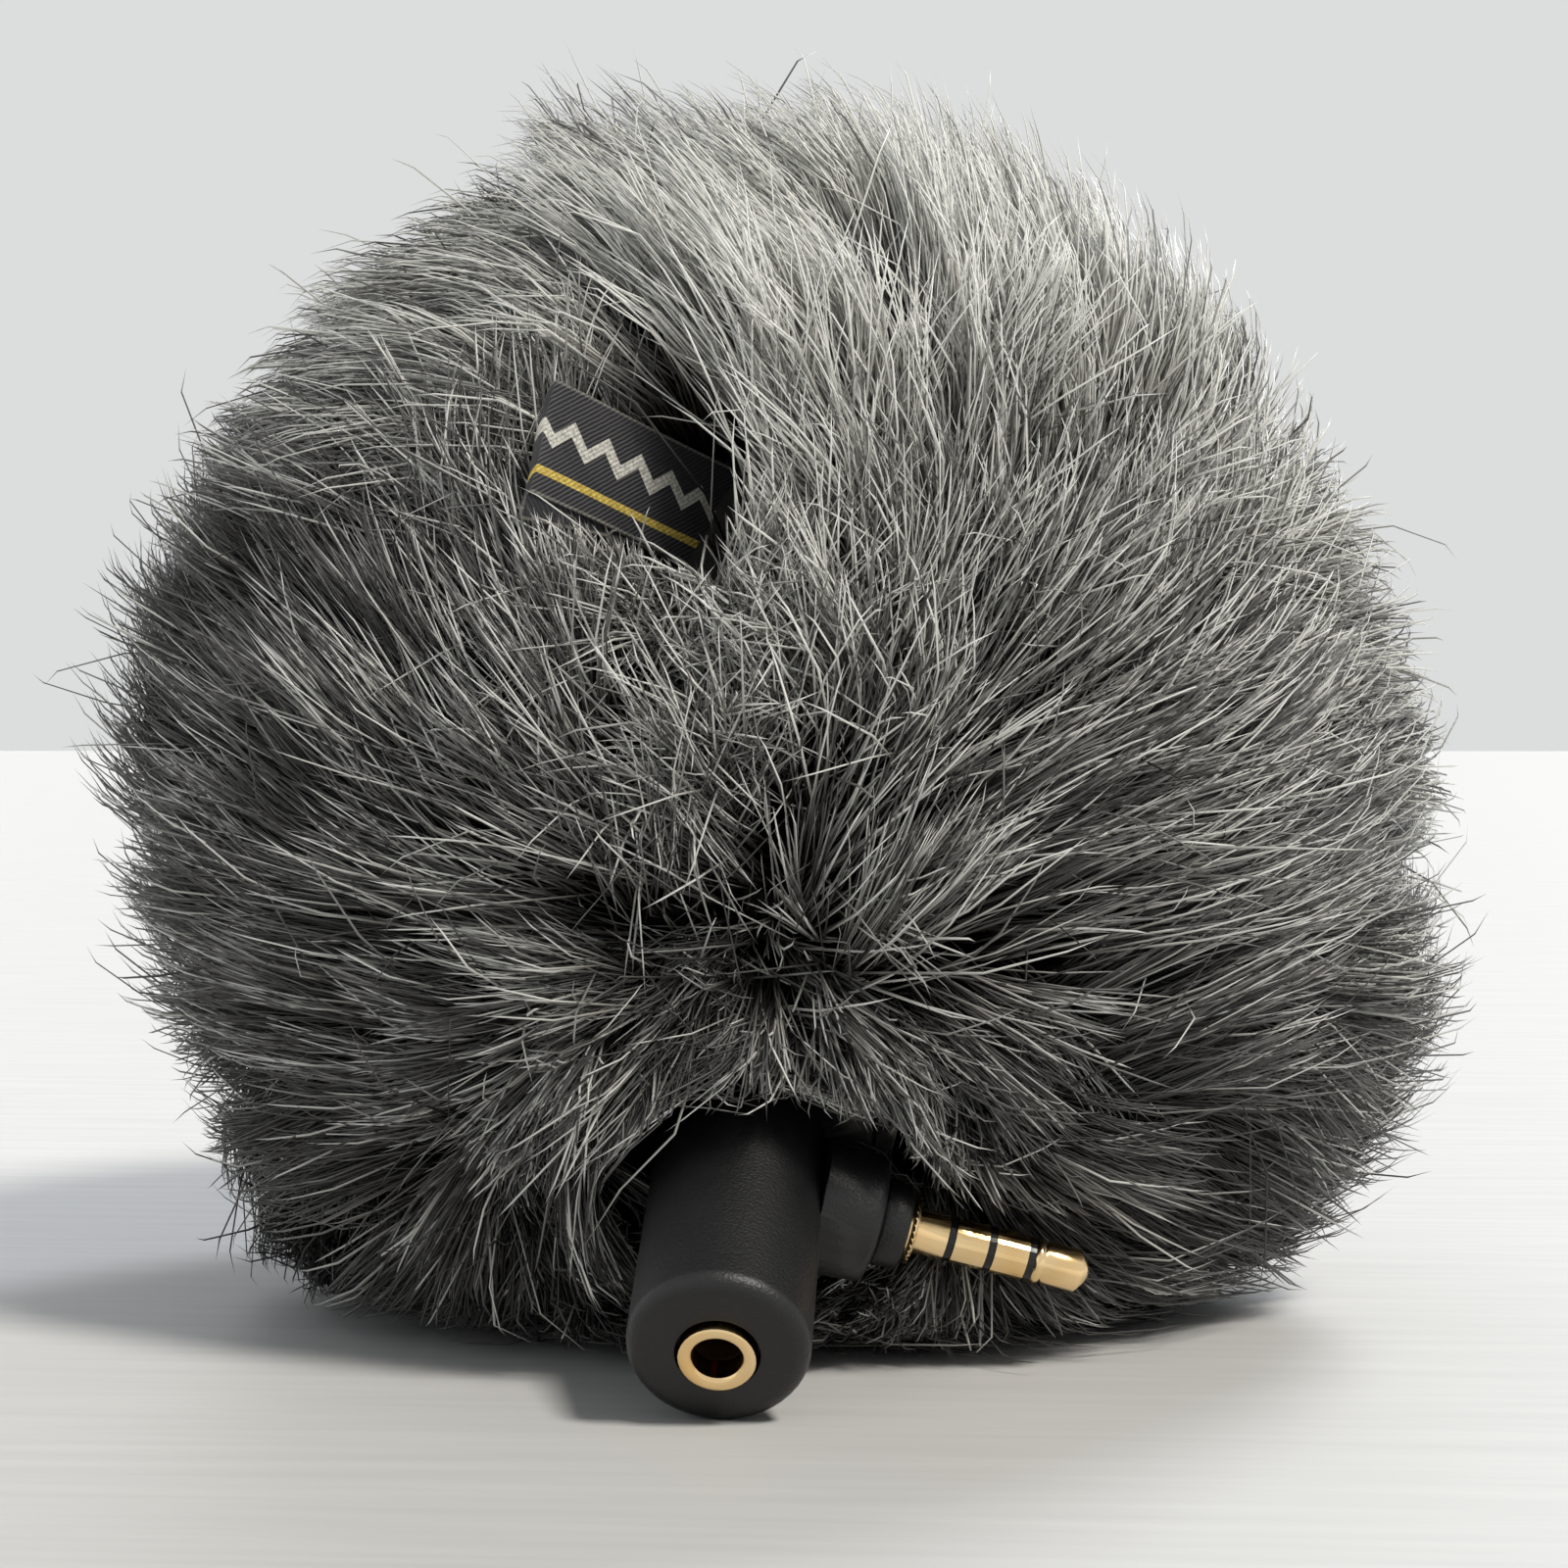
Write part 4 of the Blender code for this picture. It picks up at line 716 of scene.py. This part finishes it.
def combField(points, rng=None):
    place = unit((points - pile["centre"]) / pile["reach"])
    ways = [unit(points - pile["centre"] - whorl["place"])]
    rests = [np.tile(np.array(combing["plain"]), (len(points), 1))]
    weights = [np.full(len(points), combing["plainWeight"])]
    for spot, towards, *values in comb.values():
        centre = unit(np.array(spot) / pile["reach"])
        weights.append(np.exp((place @ centre - 1) / combing["spread"]))
        ways.append(np.broadcast_to(unit(np.array(towards, float)), points.shape))
        rests.append(np.broadcast_to(np.array(values), (len(points), 4)))
    weights = np.stack(weights, axis=1)
    weights = weights / weights.sum(axis=1, keepdims=True)
    if rng is not None:  # each big clump leans to one guide, so that neighbours part
        odds = weights ** combing["pick"]
        odds = np.cumsum(odds / odds.sum(axis=1, keepdims=True), axis=1)
        picked = np.minimum((odds < rng.random(len(points))[:, None]).sum(axis=1), weights.shape[1] - 1)
        leaning = np.eye(weights.shape[1])[picked]
        weights = combing["lean"] * leaning + (1 - combing["lean"]) * weights
    way = sum(weights[:, [k]] * ways[k] for k in range(len(ways)))
    rest = sum(weights[:, [k]] * rests[k] for k in range(len(rests)))
    return unit(way), rest


def combedWays(root, normal, rng, wander, leader=None):
    way, rest = combField(root, rng if leader is None else None)
    # the tone holds painted light and shade: paler where the key light falls, darker low down and in the
    # valleys
    lift, long, mess, toneWithLight = rest.T
    # near the whorl the pile turns away from it whatever the guides say
    away = root - pile["centre"] - whorl["place"]
    near = whorl["pull"] * np.exp(-(np.linalg.norm(away, axis=1) / whorl["reach"]) ** 2)[:, None]
    flat = unit(unit(alongSkin(way, normal)) * (1 - near) + unit(alongSkin(away, normal)) * near)
    station, radial, radius = aboutAxis(root, rearAt, axisAt)
    skirted = np.exp(-((radius - bag["mouthRadius"]) / skirt["reach"]) ** 2)
    skirted = (skirt["pull"] * (skirted * (station < skirt["untilStation"])))[:, None]
    onTop = np.maximum(0, radial @ np.array(upWay)) / radius
    inwards = (rng.uniform(*skirt["flare"], len(root)) + skirt["overTop"] * onTop)[:, None]
    hang = radial / radius[:, None] * inwards - axisAt + np.array((0, 0, -skirt["drop"]))
    hang = alongSkin(hang, normal, skirt["flatten"])
    flat = unit(flat * (1 - skirted) + unit(hang) * skirted)
    noise = rng.normal(size=root.shape) * (wander * (combing["calm"] + combing["messy"] * mess))[:, None]
    out = flat + normal * (lift[:, None] + whorl["lift"] * near)
    if leader is not None:
        out = unit(out) * (1 - combing["follow"]) + leader * combing["follow"]
    out = unit(unit(out) + noise)
    outwards = (out * normal).sum(axis=1)
    out = unit(out + normal * np.maximum(0, combing["leastLift"] - outwards)[:, None])
    return out, long, mess, toneWithLight


# big clumps first, then small ones drawn to them, then hairs drawn to those
clumps = dict(
    big=dict(count=900, wander=0.18, bend=0.14, sag=0.10, lengths=(0.8, 1.15), shade=0.15, slack=0.03),
    small=dict(
        count=8000, wander=0.12, bend=0.12, sag=0, lengths=(0.75, 1.15), shade=0.15, slack=0.02, gather=0.4,
    ),
)
# the long guard hairs and the undercoat between them, in mm: width at the root (real ones are about half as
# wide, too fine to show), steps of a strand's path where it has corners, how far they gather into locks,
# share of pale hairs, and how dark and pale ones stand in the mix of the two colours
coat = dict(
    guardHair=dict(
        count=40000, length=32.0, width=0.23, corners=(0, 2, 5, 7, 8), perPiece=8800, gather=0.5,
        paleShare=0.38, dark=0.10, pale=0.80, spread=0.13,
    ),
    underHair=dict(
        count=56000, length=22.0, width=0.19, corners=(0, 3, 7, 8), perPiece=12000, gather=0.5,
        paleShare=0.09, dark=0.08, pale=0.60, spread=0.10,
    ),
)
fur = dict(
    seed=11,
    frontDensity=1.35,
    steps=8,  # of a strand's path
    rootRise=1.1, rootLean=0.15,  # how it leaves the skin before it lies down
    tipDraw=1.5,
    wander=0.08,
    bends=(0.08, 0.6),  # in order and in a mess
    lengths=(0.7, 1.12),
    slack=0.02,
    pulls=(0.5, 1.2), messyPull=0.7,
    strays=0.03, messyStrays=0.30, strayWays=0.6, strayPull=0.1, straySlack=0.05,
    edges=(-0.2, 1.2),  # how exactly hairs end before the label and the plug
    shortest=0.3,  # share of its length that a strand ended before the label keeps at least
    plugShortest=0.85,  # and before the plug, where the others are left out
    overLabel=0.02, overEdge=3.0,  # share of strands that may lie over the label's rim, and how far
    # a clump's shade carries the painted light and shade of the combing
    clumpTone=(0.8, 0.35),  # how a clump's shade raises the share of pale hairs, and each one's tone
    widths=(0.7, 1.2),
    taper=0.45,
    notAlong=(0.31, 0.17, 0.93),  # a way that hardly any strand has, to set its sides by
    mapMargin=0.01, mapSliver=0.015, mapTone=0.96, mapLength=0.98,
)


def sprinkle(count, rng):
    spots, normals = ground
    a, b, c = (spots[:, k] for k in range(3))
    area = np.linalg.norm(np.cross(b - a, c - a), axis=1)
    middle = (a + b + c) / 3
    area = area * np.where(middle[:, 1] < pile["centre"][1], fur["frontDensity"], 1.0)
    radius = aboutAxis(middle, rearAt, axisAt)[2]
    atMouth = (radius < bag["mouthRadius"] + skirt["width"]) & (middle[:, 2] < skirt["below"])
    area = area * np.where(atMouth, skirt["density"], 1.0)
    chosen = rng.choice(len(area), size=count, p=area / area.sum())
    share = np.sqrt(rng.random(count))
    split = rng.random(count)
    weights = np.stack([1 - share, share * (1 - split), share * split], axis=1)
    root = (spots[chosen] * weights[:, :, None]).sum(axis=1)
    normal = unit((normals[chosen] * weights[:, :, None]).sum(axis=1))
    return root, normal


def nearest(parents, children):
    tree = KDTree(len(parents))
    for i, point in enumerate(parents):
        tree.insert(point, i)
    tree.balance()
    return np.array([tree.find(point)[1] for point in children])


def grow(root, normal, way, bend, length):
    points = [root]
    place = root
    for i in range(fur["steps"]):
        share = (i + 0.5) / fur["steps"]
        lay = 1 - (1 - share) ** 2
        rise = normal * (1 - lay) * fur["rootRise"]
        direction = unit(rise + way * (fur["rootLean"] + lay) + bend * share ** 2)
        place = place + direction * (length / fur["steps"])[:, None]
        points.append(place)
    return np.stack(points, axis=1)


def gather(paths, parents, owner, pull):
    share = np.linspace(0, 1, fur["steps"] + 1)[None, :, None]
    led = parents[owner]
    own = paths - paths[:, :1]
    guide = led - led[:, :1]
    # the strand follows its clump's way from its own root, and its tip is drawn to the clump's tip
    follow = paths[:, :1] + own * (1 - pull) + guide * pull
    return follow + (led[:, :1] - paths[:, :1]) * share ** fur["tipDraw"] * pull


def pointsAt(paths, spots):
    low = np.minimum(spots.astype(int), fur["steps"] - 1)
    rows = np.arange(len(paths))[:, None]
    part = (spots - low)[:, :, None]
    return paths[rows, low] * (1 - part) + paths[rows, low + 1] * part


def chordPoints(paths, corners):
    # points along the straight sides between a strand's corners
    ends = paths[:, list(corners)]
    share = np.linspace(0, 1, 6)[None, None, :, None]
    between = ends[:, :-1, None] * (1 - share) + ends[:, 1:, None] * share
    return between.reshape(len(paths), -1, 3)


# what the hairs keep clear of, in radii and stations; the cuff grips the head, so the pile stays outside it
clearance = dict(
    head=10.8, neck=7.0, loose=0.8,
    hangInFrom=20.0, hangInWithin=0.3, shoulderFrom=23.6, shoulderLength=2.0, untilStation=27.6,
    pulledOver=10.2, pulledOverTo=19.95,
)
plugClear = ((0.0, 11.0, 5.7), (11.0, 13.6, 4.0), (13.6, 28.2, 2.35))  # from, to, radius, along the plug
plugView = dict(way=(0.05, -1.0, 0.14), margin=0.4, behind=1.0)  # the side from which no hair hides it


def pushOut(paths, radial, radius, clear, here):
    push = np.where(here & (radius < clear), clear - radius, 0)
    return paths + radial / np.maximum(radius, 1e-6)[:, :, None] * push[:, :, None]


def settle(paths, slack):
    # held in by the form that the longest hairs reach
    share = formShare(paths)
    start = pile["holdFrom"] + slack[:, None]
    over = np.maximum(0, share - start) / pile["holdSoft"]
    held = np.where(share > start, start + pile["holdSoft"] * np.tanh(over), share)
    paths = pile["centre"] + (paths - pile["centre"]) * (held / share)[:, :, None]
    # off the neck; past the front cap's place at full slide it may hang in, down to the neck
    station, radial, radius = aboutAxis(paths, rearAt, axisAt)
    hangIn = np.clip((station - clearance["hangInFrom"]) / clearance["hangInWithin"], 0, 1)
    collar = np.clip((station - clearance["shoulderFrom"]) / clearance["shoulderLength"], 0, 1)
    hangIn = hangIn * (1 - collar)
    need = clearance["head"] * (1 - hangIn) + clearance["neck"] * hangIn
    need = need + clearance["loose"] * np.maximum(0, slack)[:, None]
    paths = pushOut(paths, radial, radius, need, station < clearance["untilStation"])
    # off the plug
    reach, radial, radius = aboutAxis(paths, plugStart, plugAt)
    for begin, end, clear in plugClear:
        paths = pushOut(paths, radial, radius, clear, (reach > begin) & (reach < end))
    # flat on the table
    gap, soft = pile["tableGap"], pile["tableSoft"]
    z = paths[:, :, 2]
    low = gap + (soft - gap) * np.exp((z - soft) / (soft - gap))
    paths[:, :, 2] = np.where(z < soft, low, z)
    return paths


def overLabel(points, edge):
    # whether a point stands before the label, seen along the parting
    back = labelAt.inverted()
    turn = np.array(back.to_3x3())
    local = points @ turn.T + np.array(back.translation)
    away = turn @ np.array(parting["way"].normalized())
    ahead = local[:, :, 1] / away[1]
    along, _, across = np.moveaxis(local - ahead[:, :, None] * away, -1, 0)
    end = ribbon["length"] - parting["coveredEnd"] + 2 * edge
    hit = (along > -parting["rim"] - edge) & (along < end) & (np.abs(across) < ribbon["width"] / 2 + edge)
    return hit & (ahead > -parting["behind"]) & (ahead < parting["depth"])


def overPlug(points, edge):
    # whether a point stands before the plug or its boss, seen from behind the microphone
    ahead = unit(np.array(plugView["way"]) - plugAt * (plugAt @ np.array(plugView["way"])))
    rel = points - plugStart
    along, side, front = rel @ plugAt, np.abs(rel @ np.cross(plugAt, ahead)), rel @ ahead
    hit = np.zeros(along.shape, bool)
    for begin, end, clear in plugClear:
        hit |= (along > begin) & (along < end) & (side < clear + plugView["margin"] + edge)
    return hit & (front > -plugView["behind"])


def inPulledOver(points):
    # whether a point would be in the head when the windshield is pulled off over it
    station, _, radius = aboutAxis(points, rearAt, axisAt)
    return (radius < clearance["pulledOver"]) & (station < clearance["pulledOverTo"])


def reachBefore(paths, covers):
    # share of each strand that lies before the first place where something must stay uncovered
    fine = np.linspace(0, fur["steps"], 3 * fur["steps"] + 1)
    hit = covers(pointsAt(paths, np.broadcast_to(fine, (len(paths), len(fine)))))
    first = np.where(hit.any(axis=1), hit.argmax(axis=1), len(fine) - 1)
    return np.maximum(first - hit.any(axis=1), 0) / (len(fine) - 1)


def strandForm(corners):
    # one strand as a closed three-sided spike, with corners at the given steps of its path
    shape = bmesh.new()
    bmesh.ops.create_cone(
        shape, cap_ends=True, cap_tris=False, segments=3, radius1=1, radius2=0, depth=fur["steps"],
        matrix=Matrix.Translation((0, 0, fur["steps"] / 2)),
    )
    for step in corners[1:-1]:
        everything = shape.verts[:] + shape.edges[:] + shape.faces[:]
        bmesh.ops.bisect_plane(
            shape, geom=everything, dist=1e-6, plane_co=(0, 0, step), plane_no=(0, 0, 1)
        )
    bmesh.ops.triangulate(shape, faces=shape.faces)
    bmesh.ops.recalc_face_normals(shape, faces=shape.faces)
    shape.verts.index_update()
    points = np.array([vert.co[:] for vert in shape.verts])
    faces = np.array([[vert.index for vert in face.verts] for face in shape.faces])
    shape.free()
    level = np.rint(points[:, 2]).astype(int)
    ringWay = unit(np.where(np.abs(points[:, :2]) < 1e-6, 0, points[:, :2]))
    ringWay[level == fur["steps"]] = 0  # the tip
    return level, ringWay, faces


def weaveStrands(name, paths, width, toneWithLight, corners, material):
    level, ringWay, faces = strandForm(corners)
    share = level / fur["steps"]
    chord = unit(paths[:, -1] - paths[:, 0])
    side = unit(np.cross(chord, np.array(fur["notAlong"])))
    other = np.cross(chord, side)
    thick = width[:, None] / 2 * (1 - fur["taper"] * share ** 3)[None, :]
    points = paths[:, level]
    points = points + side[:, None, :] * (thick * ringWay[:, 0])[:, :, None]
    points = points + other[:, None, :] * (thick * ringWay[:, 1])[:, :, None]
    count, each = len(paths), len(level)
    loops = (faces[None] + (np.arange(count) * each)[:, None, None]).reshape(-1)
    mesh = bpy.data.meshes.new(name)
    mesh.vertices.add(count * each)
    mesh.vertices.foreach_set("co", (points * mm).astype(np.float32).ravel())
    mesh.loops.add(len(loops))
    mesh.loops.foreach_set("vertex_index", loops.astype(np.int32))
    mesh.polygons.add(len(loops) // 3)
    mesh.polygons.foreach_set("loop_start", np.arange(0, len(loops), 3, dtype=np.int32))
    mesh.update(calc_edges=True)
    # u is the strand's tone, painted light and shade included, with a sliver of width round it, and v runs
    # from root to tip
    angle = np.arctan2(ringWay[:, 1], ringWay[:, 0])
    corner = np.rint(angle / math.tau % 1 * 3) % 3
    around = np.where(np.abs(ringWay).sum(axis=1) < 1e-6, 0.5, corner / 2)
    u = toneWithLight[:, None] * fur["mapTone"] + fur["mapSliver"] * around[None, :] + fur["mapMargin"]
    v = np.broadcast_to(share * fur["mapLength"] + fur["mapMargin"], u.shape)
    spots = np.stack([u, v], axis=2).reshape(-1, 2)[loops]
    layer = mesh.uv_layers.new(name="OFBake")
    layer.data.foreach_set("uv", spots.astype(np.float32).ravel())
    mesh.shade_smooth()
    made = placePiece(mesh, name, material, "windshield")


def fakeFur():
    # modacrylic fake fur: dull brown-black roots, grey middles and pale tips, darker and paler fibres mixed,
    # in a mix that also holds the painted light and shade in each strand's tone
    made, tree, shader = newMaterial("greyPile")
    coordinates = addNode(tree, "UVMap", {"uv_map": "OFBake"})
    parts = addNode(tree, "SeparateXYZ", {}, {0: coordinates.outputs[0]})
    darkStops = ((0.0, "#0b0a09"), (0.4, "#161412"), (0.75, "#272523"), (1.0, "#474441"))
    paleStops = ((0.0, "#141211"), (0.25, "#45413d"), (0.48, "#bdbbb4"), (0.7, "#f4f5ef"), (1.0, "#fafaf6"))
    dark = addNode(tree, "ValToRGB", {"stops": darkStops}, {0: parts.outputs["Y"]})
    pale = addNode(tree, "ValToRGB", {"stops": paleStops}, {0: parts.outputs["Y"]})
    tint = addNode(
        tree, "Mix", {"data_type": "RGBA"},
        {"Factor": parts.outputs["X"], 6: dark.outputs[0], 7: pale.outputs[0]},
    )
    setNode(
        tree, shader, {"Roughness": 0.42, "Specular IOR Level": 0.5}, {"Base Color": tint.outputs[2]}
    )
    return made


def growClumps(size, rng, leaders=None):
    root, normal = sprinkle(size["count"], rng)
    owner = nearest(leaders["root"], root) if leaders else None
    leadWay = leaders["way"][owner] if leaders else None
    way, long, _, toneWithLight = combedWays(root, normal, rng, size["wander"], leadWay)
    bend = rng.normal(size=root.shape) * size["bend"]
    bend[:, 2] -= size["sag"]
    length = coat["guardHair"]["length"] * long * rng.uniform(*size["lengths"], len(root))
    paths = grow(root, normal, way, bend, length)
    if leaders:
        paths = gather(paths, leaders["paths"], owner, size["gather"])
        toneWithLight = (toneWithLight + leaders["shade"][owner]) / 2
    shade = toneWithLight + rng.normal(size=len(root)) * size["shade"]
    slack = rng.normal(size=len(root)) * size["slack"]
    if leaders:
        slack = leaders["slack"][owner] + slack
    return dict(root=root, way=way, paths=paths, shade=shade, slack=slack)


def layHairs(kind, hair, leaders, rng, material):
    root, normal = sprinkle(hair["count"], rng)
    count = len(root)
    owner = nearest(leaders["root"], root)
    way, long, mess, _ = combedWays(root, normal, rng, fur["wander"], leaders["way"][owner])
    stray = rng.random(count) < fur["strays"] + fur["messyStrays"] * mess
    way = unit(way + rng.normal(size=way.shape) * np.where(stray, fur["strayWays"], 0.0)[:, None])
    calmBend, messyBend = fur["bends"]
    bend = rng.normal(size=root.shape) * (calmBend + messyBend * mess)[:, None]
    paths = grow(root, normal, way, bend, hair["length"] * long * rng.uniform(*fur["lengths"], count))
    pulls = hair["gather"] * rng.uniform(*fur["pulls"], count) * (1 - fur["messyPull"] * mess)
    paths = gather(paths, leaders["paths"], owner, np.where(stray, fur["strayPull"], pulls)[:, None, None])
    slack = leaders["slack"][owner] + rng.normal(size=count) * fur["slack"]
    paths = settle(paths, slack + np.where(stray, fur["straySlack"], 0))
    # a strand ends before the label, the plug and the head, the first two a little more or less exactly
    edge = rng.uniform(*fur["edges"], count)[:, None]
    labelEdge = edge - np.where(rng.random(count) < fur["overLabel"], fur["overEdge"], 0)[:, None]
    labelReach = reachBefore(paths, lambda points: overLabel(points, labelEdge))
    plugReach = reachBefore(paths, lambda points: overPlug(points, edge))
    reach = np.minimum(labelReach, reachBefore(paths, inPulledOver))
    keep = (reach > fur["shortest"]) & (plugReach > fur["plugShortest"])
    reach = np.minimum(reach, plugReach)
    paths = pointsAt(paths, np.linspace(0, fur["steps"], fur["steps"] + 1)[None] * reach[:, None])
    keep &= ~inPulledOver(chordPoints(paths, hair["corners"])).any(axis=1)
    # the clump's shade holds painted light and shade, so there are more pale hairs where light is painted and
    # fewer where shade is
    shareBy, toneBy = fur["clumpTone"]
    clumpShade = leaders["shade"][owner]
    pale = rng.random(count) < hair["paleShare"] + shareBy * clumpShade
    shade = np.where(pale, hair["pale"], hair["dark"]) + toneBy * clumpShade
    shade = np.clip(shade + rng.normal(size=count) * hair["spread"], 0.02, 0.98)
    widths = hair["width"] * rng.uniform(*fur["widths"], count)
    paths, shade, widths = paths[keep], shade[keep], widths[keep]
    for k, begin in enumerate(range(0, len(paths), hair["perPiece"])):
        part = slice(begin, begin + hair["perPiece"])
        weaveStrands(f"{kind}{k + 1}", paths[part], widths[part], shade[part], hair["corners"], material)
    print("stage: laid", len(paths), kind, "strands,", int((reach[keep] < 1).sum()), "of them ended early")


rng = np.random.default_rng(fur["seed"])
greyPile = fakeFur()
bigClumps = growClumps(clumps["big"], rng)
smallClumps = growClumps(clumps["small"], rng, bigClumps)
for kind, hair in coat.items():
    layHairs(kind, hair, smallClumps, rng, greyPile)
